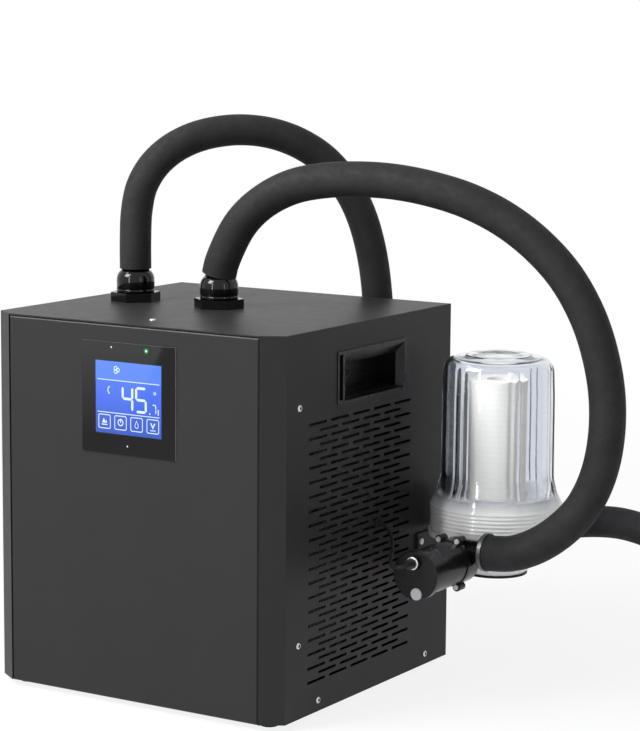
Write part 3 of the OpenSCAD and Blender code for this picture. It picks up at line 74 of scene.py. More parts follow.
def make_camera():
    yaw, pitch, roll = (math.radians(a) for a in (CAMERA_YAW, CAMERA_PITCH, CAMERA_ROLL))
    ahead = Vector((-math.sin(yaw) * math.cos(pitch), math.cos(yaw) * math.cos(pitch),
                    -math.sin(pitch)))
    flat_right = Vector((math.cos(yaw), math.sin(yaw), 0))
    flat_up = flat_right.cross(ahead)
    right = math.cos(roll) * flat_right + math.sin(roll) * flat_up
    up = -math.sin(roll) * flat_right + math.cos(roll) * flat_up
    turn = Matrix((right, up, -ahead)).transposed().to_4x4()
    camera = bpy.data.objects.new("camera", bpy.data.cameras.new("camera"))
    camera.data.sensor_width = CAMERA_SENSOR
    camera.data.lens = CAMERA_LENS
    camera.data.clip_start, camera.data.clip_end = CAMERA_CLIP
    camera.matrix_world = Matrix.Translation(at(*CAMERA_PLACE)) @ turn
    bpy.context.scene.collection.objects.link(camera)
    bpy.context.scene.camera = camera


make_camera()


# ---------- shader nodes ----------
def linear(*rgb):
    """A colour as it looks on a screen, 0 to 255, in Blender's linear values."""
    shares = [c / 255 for c in rgb]
    return [s / 12.92 if s <= 0.04045 else ((s + 0.055) / 1.055) ** 2.4 for s in shares] + [1]


def shader(name):
    m = bpy.data.materials.new(name)
    m.use_nodes = True
    tree = m.node_tree
    return m, tree, tree.nodes["Principled BSDF"]


def own_place(tree):
    return tree.nodes.new("ShaderNodeTexCoord").outputs["Object"]


def face_normal(tree):
    return tree.nodes.new("ShaderNodeNewGeometry").outputs["True Normal"]


def part_of(tree, vector, axis):
    split = tree.nodes.new("ShaderNodeSeparateXYZ")
    tree.links.new(vector, split.inputs["Vector"])
    return split.outputs[axis]


def length_of(tree, vector):
    far = tree.nodes.new("ShaderNodeVectorMath")
    far.operation = "LENGTH"
    tree.links.new(vector, far.inputs[0])
    return far.outputs["Value"]


def combined(tree, operation, first, second):
    both = tree.nodes.new("ShaderNodeMath")
    both.operation = operation
    tree.links.new(first, both.inputs[0])
    tree.links.new(second, both.inputs[1])
    return both.outputs[0]


def noise(tree, scale, detail=3):
    n = tree.nodes.new("ShaderNodeTexNoise")
    n.inputs["Scale"].default_value = scale
    n.inputs["Detail"].default_value = detail
    tree.links.new(own_place(tree), n.inputs["Vector"])
    return n.outputs["Fac"]


def ranged(tree, value, low, high, from_low=0.3, from_high=0.7):
    r = tree.nodes.new("ShaderNodeMapRange")
    r.inputs["From Min"].default_value, r.inputs["From Max"].default_value = from_low, from_high
    r.inputs["To Min"].default_value, r.inputs["To Max"].default_value = low, high
    tree.links.new(value, r.inputs["Value"])
    return r.outputs["Result"]


def bumped(tree, bsdf, height, depth, strength=0.5):
    b = tree.nodes.new("ShaderNodeBump")
    b.inputs["Distance"].default_value = depth
    b.inputs["Strength"].default_value = strength
    tree.links.new(height, b.inputs["Height"])
    tree.links.new(b.outputs["Normal"], bsdf.inputs["Normal"])


def blended(tree, socket, factor, first, second):
    """Feeds a socket with a blend of two colours."""
    mix = tree.nodes.new("ShaderNodeMix")
    mix.data_type = "RGBA"
    mix.inputs["A"].default_value, mix.inputs["B"].default_value = first, second
    tree.links.new(factor, mix.inputs["Factor"])
    tree.links.new(mix.outputs["Result"], socket)


def tinted(tree, bsdf, factor, dark, light):
    blended(tree, bsdf.inputs["Base Color"], factor, dark, light)


def uneven_gloss(tree, bsdf, scale, detail, low, high):
    """A roughness that wanders between two values."""
    tree.links.new(ranged(tree, noise(tree, scale, detail), low, high), bsdf.inputs["Roughness"])


def white_light(tree):
    light = tree.nodes.new("ShaderNodeEmission")
    light.inputs["Color"].default_value = (1, 1, 1, 1)
    return light


def end_in(tree, shown):
    tree.links.new(shown.outputs[0], tree.nodes["Material Output"].inputs["Surface"])


def end_in_mix(tree, factor, first, second):
    mix = tree.nodes.new("ShaderNodeMixShader")
    tree.links.new(factor, mix.inputs["Fac"])
    tree.links.new(first.outputs[0], mix.inputs[1])
    tree.links.new(second.outputs[0], mix.inputs[2])
    end_in(tree, mix)


# ---------- materials ----------
# Scale and detail of the noises behind mottled colour and uneven gloss.
MOTTLE_NOISE, GLOSS_NOISE = (14, 4), (60, 5)
GRAIN_DETAIL, COAT_ROUGH = 2, 0.08


def surface(name, colour, rough, spread=0.05, metallic=0.0, grain=600, depth=0.00008,
            mottle=0.06, coat=0.0, shine=0.5):
    """A plain surface with a fine grain, uneven gloss and slightly mottled colour."""
    m, tree, bsdf = shader(name)
    bsdf.inputs["Metallic"].default_value = metallic
    bsdf.inputs["Specular IOR Level"].default_value = shine
    bsdf.inputs["Coat Weight"].default_value = coat
    bsdf.inputs["Coat Roughness"].default_value = COAT_ROUGH
    tinted(tree, bsdf, ranged(tree, noise(tree, *MOTTLE_NOISE), 0, 1),
           [c * (1 - mottle) for c in colour[:3]] + [1],
           [c * (1 + mottle) for c in colour[:3]] + [1])
    uneven_gloss(tree, bsdf, *GLOSS_NOISE, rough - spread, rough + spread)
    bumped(tree, bsdf, noise(tree, grain, GRAIN_DETAIL), depth)
    return m


def folded_steel():
    """Satin powder coat on folded sheet, with a painted highlight: far more shine on the bevelled
    folds that face up and to the front.
    """
    m = surface("powder_coat", linear(40, 40, 41), 0.42, 0.02, grain=900, depth=0.0001,
                mottle=0.03)
    # Painted highlight: faces leaning towards this normal get a much higher specular level, for a
    # bright line of light along the front folds.
    plain_shine, painted_highlight_shine = 0.13, 1.0
    highlight_fold_normal, lean_from, lean_to = (0, -math.sqrt(0.5), math.sqrt(0.5)), 0.97, 0.99
    tree = m.node_tree
    lean = tree.nodes.new("ShaderNodeVectorMath")
    lean.operation = "DOT_PRODUCT"
    lean.inputs[1].default_value = highlight_fold_normal
    tree.links.new(face_normal(tree), lean.inputs[0])
    tree.links.new(
        ranged(tree, lean.outputs["Value"], plain_shine, painted_highlight_shine, lean_from, lean_to),
        tree.nodes["Principled BSDF"].inputs["Specular IOR Level"])
    return m


def glass_with_painted_edge_highlight():
    """Black glass whose cut edges are painted paler than its face, as a painted highlight."""
    m, tree, bsdf = shader("black_glass")
    bsdf.inputs["Specular IOR Level"].default_value = 0.22
    # Painted highlight: faces turned away from the front, the glass's cut edges, get a pale grey
    # base colour instead of black.
    face_y, edge_y = -0.9, -0.5
    tinted(tree, bsdf, ranged(tree, part_of(tree, face_normal(tree), "Y"), 0, 1, face_y, edge_y),
           linear(10, 10, 12), linear(140, 143, 146))
    uneven_gloss(tree, bsdf, *GLOSS_NOISE, 0.02, 0.06)
    return m


def clear_plastic():
    """Clear moulded plastic, milky round the threaded mouth, that lets lamp light through."""
    m, tree, bsdf = shader("clear_plastic")
    bsdf.inputs["IOR"].default_value = 1.49
    milky_below, clear_above = (MOUTH_Z + 28) * MM, (MOUTH_Z + 44) * MM
    milky_share, clear_share = 0.12, 1.0
    height = part_of(tree, own_place(tree), "Z")
    tinted(tree, bsdf, ranged(tree, height, 0, 1, milky_below, clear_above),
           linear(254, 254, 254), linear(232, 235, 241))
    tree.links.new(ranged(tree, height, milky_share, clear_share, milky_below, clear_above),
                   bsdf.inputs["Transmission Weight"])
    uneven_gloss(tree, bsdf, 90, 3, 0.01, 0.06)
    bumped(tree, bsdf, noise(tree, 30, 2), 0.0006, 0.3)
    clear = tree.nodes.new("ShaderNodeBsdfTransparent")
    clear.inputs["Color"].default_value = (0.8, 0.82, 0.84, 1)
    path = tree.nodes.new("ShaderNodeLightPath")
    end_in_mix(tree, path.outputs["Is Shadow Ray"], bsdf, clear)
    return m


def foam():
    """Closed-cell foam sleeve: fine pores under a dull skin."""
    m, tree, bsdf = shader("black_foam")
    tinted(tree, bsdf, ranged(tree, noise(tree, 45, 5), 0, 1),
           linear(30, 30, 31), linear(38, 38, 39))
    bsdf.inputs["Specular IOR Level"].default_value = 0.2
    uneven_gloss(tree, bsdf, 160, 3, 0.62, 0.8)
    bumped(tree, bsdf, noise(tree, 700, 3), 0.0003, 0.6)
    return m


def glowing(name, colour, strength, low_share=1.0):
    """A lit face, dimmer at the display's low edge where low_share is under one."""
    m, tree, bsdf = shader(name)
    bsdf.inputs["Base Color"].default_value = [c * 0.1 for c in colour[:3]] + [1]
    bsdf.inputs["Roughness"].default_value = 0.06
    bsdf.inputs["Specular IOR Level"].default_value = 0.3
    bsdf.inputs["Emission Color"].default_value = colour
    bsdf.inputs["Emission Strength"].default_value = strength
    if low_share < 1:
        dim_below, full_above = (LCD_TOP_Z - LCD_H) * MM, (LCD_TOP_Z - LCD_H * 0.3) * MM
        height = part_of(tree, own_place(tree), "Z")
        tree.links.new(ranged(tree, height, strength * low_share, strength, dim_below, full_above),
                       bsdf.inputs["Emission Strength"])
    return m


def wound_thread():
    """The cartridge's melt-blown polypropylene: very fine soft turns."""
    m, tree, bsdf = shader("wound_thread")
    wave = tree.nodes.new("ShaderNodeTexWave")
    wave.wave_type, wave.bands_direction = "BANDS", "Z"
    wave.inputs["Scale"].default_value = 55
    wave.inputs["Distortion"].default_value = 1.5
    wave.inputs["Detail"].default_value = 2
    tree.links.new(own_place(tree), wave.inputs["Vector"])
    tinted(tree, bsdf, wave.outputs["Fac"], linear(238, 232, 220), linear(242, 236, 225))
    uneven_gloss(tree, bsdf, 200, 3, 0.6, 0.8)
    bumped(tree, bsdf, wave.outputs["Fac"], 0.0001, 0.3)
    return m


MATS = {
    "black_steel": folded_steel(),
    "zinc_steel": surface("zinc", linear(222, 223, 225), 0.35, 0.08, metallic=0.7,
                          grain=300, depth=0.00005),
    "black_plastic": surface("black_plastic", linear(20, 20, 21), 0.28, 0.06, shine=0.45),
    "black_gloss": surface("black_gloss", linear(10, 10, 12), 0.12, 0.03,
                           grain=80, depth=0.00004, shine=0.26),
    "black_rubber": surface("black_rubber", linear(24, 24, 25), 0.7, 0.08,
                            grain=900, depth=0.0002, shine=0.25),
    "motor_black": surface("motor_paint", linear(20, 20, 22), 0.3, 0.06,
                           grain=400, depth=0.0001, shine=0.2),
    "compressor_black": surface("compressor_paint", linear(22, 22, 23), 0.3, 0.08, coat=0.3),
    "fin_aluminium": surface("fin_aluminium", linear(150, 153, 156), 0.4, 0.1, metallic=1.0),
    # Painted shade: the copper is much darker than bare copper, so the coil and bends read dark
    # inside the cabinet through the side slots.
    "copper": surface("copper", linear(104, 60, 42), 0.45, 0.1, metallic=1.0),
    "pipe_plastic": surface("pipe_plastic", linear(222, 224, 226), 0.3, 0.06),
    "filter_white": surface("filter_white", linear(240, 241, 243), 0.24, 0.05,
                            grain=80, depth=0.0001, mottle=0.02),
    "cartridge_white": wound_thread(),
    "grey_plastic": surface("grey_plastic", linear(158, 160, 164), 0.42, 0.06),
    "board_green": surface("board_green", linear(20, 84, 46), 0.4, 0.08),
    "switch_red": surface("switch_red", linear(150, 22, 20), 0.25, 0.05),
    "filter_clear": clear_plastic(),
    "black_foam": foam(),
    "display_blue": glowing("display_blue", linear(72, 112, 238), 1.0, 0.5),
    "lamp_green": glowing("lamp_green", linear(120, 250, 170), 1.6),
}


def paint(node, material):
    for place in nodes[node].material_slots:
        place.material = material


for part in frame["record"]["subparts"]:
    paint(part["node"], MATS[part["material_slot"]])
paint("control_glass", glass_with_painted_edge_highlight())
# The handles get a darker plastic than the other black parts: partly their own colour, partly
# painted shade for their deep pockets.
for handle in ("right_handle", "left_handle"):
    paint(handle, surface("handle_plastic_and_painted_shade", linear(12, 12, 13), 0.3, 0.06, shine=0.28))
paint("hose_clip", surface("clip_steel", linear(98, 99, 101), 0.34, 0.08, metallic=0.8,
                           grain=300, depth=0.00005))


# ---------- new pieces ----------
def piece(obj, body, slot, replaces=(), look=None):
    """Links a new object to the body it moves with, gives it the material of its slot, or the look
    given instead, and hides the CAD parts it stands for.
    """
    bpy.context.scene.collection.objects.link(obj)
    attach(obj, body)
    obj.data.materials.append(look or MATS[slot])
    if replaces:
        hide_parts(*replaces)
    return obj


def solid(name, points, faces, body, slot, replaces=(), smooth=True, look=None):
    mesh = bpy.data.meshes.new(name)
    mesh.from_pydata([tuple(p) for p in points], [], faces)
    mesh.validate()
    for face in mesh.polygons:
        face.use_smooth = smooth
    return piece(bpy.data.objects.new(name, mesh), body, slot, replaces, look)


def turned(profile, steps, place, first=0, flipped=False):
    """Points and faces of a closed profile of (r, z), turned about an axis.

    place(r, z, turn) puts each point, and first is the number of the first one in the mesh.
    """
    n = len(profile)
    points = [place(r, z, 2 * math.pi * i / steps) for i in range(steps) for r, z in profile]
    faces = []
    for i in range(steps):
        j = (i + 1) % steps
        for k in range(n):
            m = (k + 1) % n
            face = (first + i * n + k, first + j * n + k, first + j * n + m, first + i * n + m)
            faces.append(face[::-1] if flipped else face)
    return points, faces


def upright(x, y, z, swell):
    """A place() in mm about the line up from x, y, z, with r grown by swell(r, z, turn)."""
    def place(r, up, turn):
        grown = r + swell(r, up, turn)
        return at(x + grown * math.cos(turn), y + grown * math.sin(turn), z + up)
    return place


# ---------- hoses and cable, on the same points as in the part's source ----------
LOOP_ROUTE = [
    (176, 172, 442), (180, 172, 456), (198, 174, 492), (214, 176, 511), (236, 180, 528),
    (264, 184, 541), (296, 189, 548), (334, 195, 551), (376, 201, 550), (418, 207, 544),
    (460, 213, 533), (500, 219, 515), (536, 224, 490), (566, 229, 459), (590, 232, 420),
    (604, 235, 380), (612, 236, 338), (612, 236, 294), (604, 235, 254), (588, 233, 220),
    (566, 230, 195), (540, 227, 176), (514, 225.5, 165), (494, 225.5, 162), (478, 225.5, 162)]
RETURN_ROUTE = [
    (64, 172, 442), (64, 172, 474), (65, 173, 505), (69, 177, 532), (78, 187, 555),
    (92, 201, 573), (110, 220, 586), (131, 243, 593), (152, 265, 594), (173, 288, 589),
    (193, 309, 578), (212, 329, 560), (228, 346, 534), (241, 360, 500), (251, 371, 450),
    (256, 378, 380), (256, 380, 300), (255, 380, 200), (246, 380, 130), (222, 380, 78),
    (186, 380, 40), (148, 380, 22), (108, 380, 18), (-10, 380, 18)]
INLET_ROUTE = [
    (469.5, 410, 155.9), (484, 410, 161), (502, 410, 165), (524, 410, 168), (548, 410, 169),
    (573, 410, 166), (600, 409, 159), (630, 407, 147), (662, 405, 129), (694, 403, 107),
    (726, 402, 83), (760, 401, 58), (800, 400, 35), (850, 400, 20), (905, 400, 18),
    (997, 375, 18), (1065, 307, 18), (1090, 215, 18), (1065, 123, 18), (997, 55, 18),
    (905, 30, 18), (813, 55, 18), (774, 84, 18)]
CABLE_ROUTE = [
    (369, 197, 185), (378, 195, 181), (388, 187, 173), (398, 172, 166), (408, 152, 161),
    (419, 133, 159), (431, 118, 160), (441, 112, 162), (445, 116, 163), (445, 125, 163)]


def smooth_route(route, low, steps=6):
    """Points of a smooth curve through the route's own, spaced by their distances."""
    pts = [Vector(p) for p in route]
    pts = [2 * pts[0] - pts[1]] + pts + [2 * pts[-1] - pts[-2]]
    out = []
    for i in range(1, len(pts) - 2):
        a, b, c, d = pts[i - 1:i + 3]
        ka, kb, kc = (math.sqrt((q - p).length) for p, q in ((a, b), (b, c), (c, d)))
        tb, tc, td = ka, ka + kb, ka + kb + kc
        for s in range(steps):
            t = tb + (tc - tb) * s / steps
            ab = a + (b - a) * (t / tb)
            bc = b + (c - b) * ((t - tb) / (tc - tb))
            cd = c + (d - c) * ((t - tc) / (td - tc))
            left = ab + (bc - ab) * (t / tc)
            right = bc + (cd - bc) * ((t - tb) / (td - tb))
            out.append(left + (right - left) * ((t - tb) / (tc - tb)))
    out.append(pts[-2])
    return [Vector((p.x, p.y, max(p.z, low))) for p in out]


def hose(name, route, dia, slot):
    points = smooth_route(route, dia / 2)
    curve = bpy.data.curves.new(name, "CURVE")
    curve.dimensions = "3D"
    curve.bevel_depth = 1
    curve.bevel_resolution = 7
    curve.use_fill_caps = True
    spline = curve.splines.new("POLY")
    spline.points.add(len(points) - 1)
    for dot, p in zip(spline.points, points):
        dot.co = (*at(*p), 1)
        dot.radius = dia / 2 * MM
    spline.use_smooth = True
    obj = piece(bpy.data.objects.new(name, curve), "chiller", slot, (name.removesuffix("_line"),))


hose("loop_hose_line", LOOP_ROUTE, LOOP_DIA, "black_foam")
hose("return_hose_line", RETURN_ROUTE, BATH_DIA, "black_foam")
hose("inlet_hose_line", INLET_ROUTE, BATH_DIA, "black_foam")
hose("pump_cable_line", CABLE_ROUTE, CABLE_DIA, "black_rubber")


# ---------- filter bowl ----------
def make_bowl():
    """Clear pressed bowl, mouth down: pairs of moulded ribs, rounded shoulders, raised crown."""
    bowl_r, mouth_r, wall, high, mouth_h = 60, 71.5, 4, 189, 36
    flare_low, flare_top, flare_power, shoulder, crown_r, crown_t = 31, 66, 2.2, 13, 36, 3
    thread_low, thread_pitch, thread_rings, thread_out = 5, 4.2, 6, 1.2
    tip = 0.01
    outer = [(mouth_r, 0), (mouth_r, 4)]
    for k in range(thread_rings):
        z = thread_low + thread_pitch * k
        outer += [(mouth_r, z), (mouth_r + thread_out, z + 0.7), (mouth_r + thread_out, z + 2),
                  (mouth_r, z + 2.7)]
    for k in range(9):
        u = k / 8
        outer.append((mouth_r - (mouth_r - bowl_r) * (1 - (1 - u) ** flare_power),
                      flare_low + (flare_top - flare_low) * u))
    outer += [(bowl_r - 0.6 * u, flare_top + (high - shoulder - flare_top) * u)
              for u in (0.25, 0.5, 0.75)]
    top_r = bowl_r - 0.8
    for k in range(7):
        turn = math.pi / 2 * k / 6
        outer.append((top_r - shoulder * (1 - math.cos(turn)),
                      high - shoulder + shoulder * math.sin(turn)))
    outer += [(crown_r + 1.5, high), (crown_r, high + 1), (crown_r - 0.4, high + crown_t - 0.6),
              (crown_r - 1.2, high + crown_t), (tip, high + crown_t)]
    inner = [(tip, high - wall)]
    for k in range(7):
        turn = math.pi / 2 * (1 - k / 6)
        inner.append((top_r - shoulder + (shoulder - wall) * math.cos(turn),
                      high - shoulder + (shoulder - wall) * math.sin(turn)))
    inner += [(bowl_r - wall, 120), (bowl_r - wall, 80), (bowl_r - wall + 0.5, 60),
              (bowl_r - wall, mouth_h), (mouth_r - 4.5, mouth_h), (mouth_r - 4.5, 0)]

    # Each pair of ribs is centred on a multiple of pair_step degrees, less first_pair.
    pair_step, first_pair, rib_apart, rib_half, rib_out = 60, 44, 10, 3, 2.0
    rib_low, rib_top, fade_low, fade_top = 34, high - 4, 14, 16

    def swell(r, z, turn):
        if r <= bowl_r - 2 or z < rib_low or z > rib_top:
            return 0
        fade = min(1, (z - rib_low) / fade_low) * min(1, (rib_top - z) / fade_top)
        degrees = (math.degrees(turn) + first_pair) % pair_step
        near = min(abs(degrees - rib_apart / 2), abs(degrees - (pair_step - rib_apart / 2)))
        return rib_out * fade * max(0, math.cos(min(near, rib_half) / rib_half * math.pi / 2))

    points, faces = turned(outer + inner, 240, upright(FILTER_X, FILTER_Y, MOUTH_Z, swell))
    solid("filter_bowl_clear", points, faces, "bowl", "filter_clear", ("filter_bowl",))


make_bowl()


# ---------- clamp nuts ----------
def make_clamp_nut(name, x, look):
    """Smooth nut, straight below and domed above, with a crown of fingers round the hose."""
    low, high, wide, crown, bore = 10, 26, 21, 15.4, 12.9
    outer = [(wide - 0.8, 0), (wide, 0.8), (wide, 3), (wide - 0.25, 3.3), (wide - 0.25, 3.7),
             (wide, 4), (wide, high * 0.5)]
    for k in range(1, 9):
        turn = math.pi / 2 * k / 8
        outer.append((crown + (wide - crown) * math.cos(turn) ** 1.3,
                      high * (0.5 + 0.42 * math.sin(turn))))
    outer += [(crown - 0.1, high - 0.4), (crown - 0.6, high)]
    inner = [(bore, high), (bore, 0)]
    finger_step, finger_half, groove, groove_low = 30, 9, 2.2, high * 0.93

    def swell(r, z, turn):
        if z < groove_low or r <= bore:
            return 0
        near = abs((math.degrees(turn) + finger_step / 2) % finger_step - finger_step / 2)
        return -groove if near > finger_half else 0

    points, faces = turned(outer + inner, 240, upright(x, FITTING_Y, TOP_Z + low, swell))
    solid(name + "_domed", points, faces, "chiller", "black_gloss", (name,), look=look)


nut_gloss = surface("nut_gloss", linear(10, 10, 11), 0.1, 0.03, grain=80, depth=0.00004,
                    shine=0.3)
make_clamp_nut("supply_clamp_nut", SUPPLY_X, nut_gloss)
make_clamp_nut("return_clamp_nut", RETURN_X, nut_gloss)


# ---------- panel screws ----------
def loose_parts(obj):
    """The places of an object's points, one list for each part that hangs together."""
    keys = [tuple(round(c, 5) for c in v.co) for v in obj.data.vertices]
    link = {k: k for k in keys}

    def end(k):
        while link[k] != k:
            link[k] = link[link[k]]
            k = link[k]
        return k

    for edge in obj.data.edges:
        link[end(keys[edge.vertices[0]])] = end(keys[edge.vertices[1]])
    parts = {}
    for k in sorted(link):
        parts.setdefault(end(k), []).append(obj.matrix_world @ Vector(k))
    return [parts[k] for k in sorted(parts)]


def screw_profile(head, length):
    """A domed head with a round recess, and its shank; the first two sides are the recess."""
    shank, tall, cup, tip = SCREW_DIA / 2 * MM, SCREW_HEAD * MM, head * 0.5, 0.00005
    return [(tip, -tall * 0.8), (cup * 0.7, -tall * 0.8), (cup, -tall * 0.08), (cup * 1.12, 0),
            (head * 0.75, -tall * 0.12), (head * 0.94, -tall * 0.45), (head, -tall * 0.8),
            (head, -tall), (shank, -tall), (shank, -length), (tip, -length)]


def panel_screw(part, first):
    """Points, faces and the recess faces painted dark as shade, of one screw, where the CAD part
    has its own.
    """
    low = Vector([min(p[i] for p in part) for i in range(3)])
    high = Vector([max(p[i] for p in part) for i in range(3)])
    mid = (low + high) / 2
    axis = max(range(3), key=lambda i: (high - low)[i])
    across, up = [i for i in range(3) if i != axis]
    # The head is at the end whose points lie furthest from the axis.
    wide = [max((p[across] - mid[across]) ** 2 for p in part if (p[axis] > mid[axis]) == side)
            for side in (False, True)]
    sign = 1 if wide[1] > wide[0] else -1
    top = high[axis] if sign > 0 else low[axis]

    def place(r, drop, turn):
        p = [0, 0, 0]
        p[axis] = top + sign * drop
        p[across] = mid[across] + r * math.cos(turn)
        p[up] = mid[up] + r * math.sin(turn)
        return tuple(p)

    profile = screw_profile((high - low)[across] / 2, high[axis] - low[axis])
    steps, flipped = 24, (sign > 0) == (axis != 1)
    points, faces = turned(profile, steps, place, first, flipped)
    return points, faces, [k < 2 for _ in range(steps) for k in range(len(profile))]


def make_panel_screws():
    """Low domed screws whose round recess is painted dark as shade, on the same places as in the
    CAD.
    """
    points, faces, dark = [], [], []
    for part in loose_parts(nodes["panel_screws"]):
        more_points, more_faces, more_painted_shade = panel_screw(part, len(points))
        points += more_points
        faces += more_faces
        dark += more_painted_shade
    screws = solid("panel_screw_heads", points, faces, "chiller", "zinc_steel", ["panel_screws"])
    # Painted shade: the recess faces get a near-black material that stands in for the shade inside
    # the hollow.
    screws.data.materials.append(surface("screw_recess_painted_shade", linear(16, 16, 17), 0.6, 0.08, shine=0.2))
    for face, in_shaded_recess in zip(screws.data.polygons, dark):
        face.material_index = 1 if in_shaded_recess else 0


make_panel_screws()


# ---------- cable gland ----------
def make_gland_rim():
    """The bright rim on the nut of the pump's cable gland."""
    turns, sides, rim, wire, share_back = 48, 12, 5.9 * MM, 1.1 * MM, 0.55
    low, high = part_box("pump_gland")
    x, z = (low.x + high.x) / 2, (low.z + high.z) / 2
    y = low.y + (high.y - low.y) * share_back
    angles = [2 * math.pi * k / sides for k in range(sides)]
    profile = [(rim + wire * math.cos(a), wire * math.sin(a)) for a in angles]
    points, faces = turned(
        profile, turns, lambda r, along, t: (x + r * math.cos(t), y + along, z + r * math.sin(t)),
        flipped=True)
    solid("gland_rim", points, faces, "chiller", "zinc_steel")


make_gland_rim()


# ---------- display ----------
# The marks are flat outlines in shares of the display: u from its left, v from its top.
# MARK_OUT and BAND_OUT are how far marks and band stand in front of their face, in mm.
MARK_OUT, BAND_OUT, BAND_LOW = 0.12, 0.05, 0.26
TALL = LCD_W / LCD_H
MARKS = []


def on_display(u, v, out):
    return at(GLASS_X - LCD_W / 2 + u * LCD_W, LCD_Y - out, LCD_TOP_Z - v * LCD_H)


def flat(outline, out=MARK_OUT):
    MARKS.append([on_display(u, v, out) for u, v in outline])


def bar(x0, y0, x1, y1):
    flat([(x0, y0), (x1, y0), (x1, y1), (x0, y1)])


def segment(x0, y0, x1, y1, t, tall):
    """One stroke of a number, pointed at both ends; t is its width in shares of the width."""
    ty, g = t * TALL, 0.08
    if tall:
        flat([(x0, y0 + ty * g), (x0 + t / 2, y0 + ty * (g + 0.5)),
              (x0 + t / 2, y1 - ty * (g + 0.5)), (x0, y1 - ty * g),
              (x0 - t / 2, y1 - ty * (g + 0.5)), (x0 - t / 2, y0 + ty * (g + 0.5))])
    else:
        flat([(x0 + t * g, y0), (x0 + t * (g + 0.5), y0 - ty / 2),
              (x1 - t * (g + 0.5), y0 - ty / 2), (x1 - t * g, y0),
              (x1 - t * (g + 0.5), y0 + ty / 2), (x0 + t * (g + 0.5), y0 + ty / 2)])


def number(strokes, x, y, w, h, t):
    """A digit of seven strokes: a, g, d are level from the top, f, b, c are upright."""
    spots = {"a": (x, y, x + w, y, False), "g": (x, y + h / 2, x + w, y + h / 2, False),
             "d": (x, y + h, x + w, y + h, False), "f": (x, y, x, y + h / 2, True),
             "b": (x + w, y, x + w, y + h / 2, True), "c": (x + w, y + h / 2, x + w, y + h, True)}
    for name in strokes:
        x0, y0, x1, y1, tall = spots[name]
        segment(x0, y0, x1, y1, t, tall)


def ring(cx, cy, r, t, start=0, end=360, steps=20):
    for i in range(steps):
        a, b = (math.radians(start + (end - start) * k / steps) for k in (i, i + 1))
        flat([(cx + q * math.cos(c), cy + q * math.sin(c) * TALL)
              for q, c in ((r, a), (r, b), (r - t, b), (r - t, a))])


def key_frame(cx, cy, w=0.094, h=0.1, t=0.011, r=0.026):
    """The rounded outline of one touch key."""
    bar(cx - w + r, cy - h, cx + w - r, cy - h + t * TALL)
    bar(cx - w + r, cy + h - t * TALL, cx + w - r, cy + h)
    bar(cx - w, cy - h + r * TALL, cx - w + t, cy + h - r * TALL)
    bar(cx + w - t, cy - h + r * TALL, cx + w, cy + h - r * TALL)
    for sx, sy, start in ((1, 1, 0), (-1, 1, 90), (-1, -1, 180), (1, -1, 270)):
        ring(cx + sx * (w - r), cy + sy * (h - r * TALL), r, t, start, start + 90, 5)


def heat_sign(cx, y):
    bar(cx - 0.045, y + 0.035, cx + 0.045, y + 0.05)
    flat([(cx - 0.04, y + 0.02), (cx - 0.01, y - 0.05), (cx + 0.02, y + 0.02)])
    flat([(cx + 0.01, y + 0.02), (cx + 0.025, y - 0.03), (cx + 0.04, y + 0.02)])


def power_sign(cx, y):
    ring(cx, y - 0.005, 0.045, 0.014)
    bar(cx - 0.006, y - 0.06, cx + 0.006, y)


def drop_sign(cx, y):
    ring(cx, y + 0.02, 0.03, 0.009, -30, 210, 14)
    flat([(cx, y - 0.06), (cx + 0.028, y + 0.004), (cx + 0.019, y + 0.006), (cx, y - 0.042)])
    flat([(cx, y - 0.06), (cx, y - 0.042), (cx - 0.019, y + 0.006), (cx - 0.028, y + 0.004)])


def down_sign(cx, y):
    flat([(cx - 0.04, y - 0.045), (cx - 0.02, y - 0.045), (cx, y + 0.0), (cx + 0.02, y - 0.045),
          (cx + 0.04, y - 0.045), (cx, y + 0.04)])
    bar(cx - 0.04, y + 0.05, cx + 0.04, y + 0.062)


def glass_dot(u, v, r=0.9, steps=12):
    """A small round printed mark on the black glass, drawn with the display's glowing marks so
    that it shines as painted light; at shares of the glass, r in mm.
    """
    x, z = GLASS_X + GLASS_W * (u - 0.5), GLASS_TOP_Z - GLASS_H * v
    mid_u, mid_v = (x - GLASS_X) / LCD_W + 0.5, (LCD_TOP_Z - z) / LCD_H
    angles = [math.radians(360 / steps * k) for k in range(steps)]
    flat([(mid_u + r / LCD_W * math.cos(a), mid_v + r / LCD_W * TALL * math.sin(a))
          for a in angles], LCD_Y - GLASS_Y + MARK_OUT)


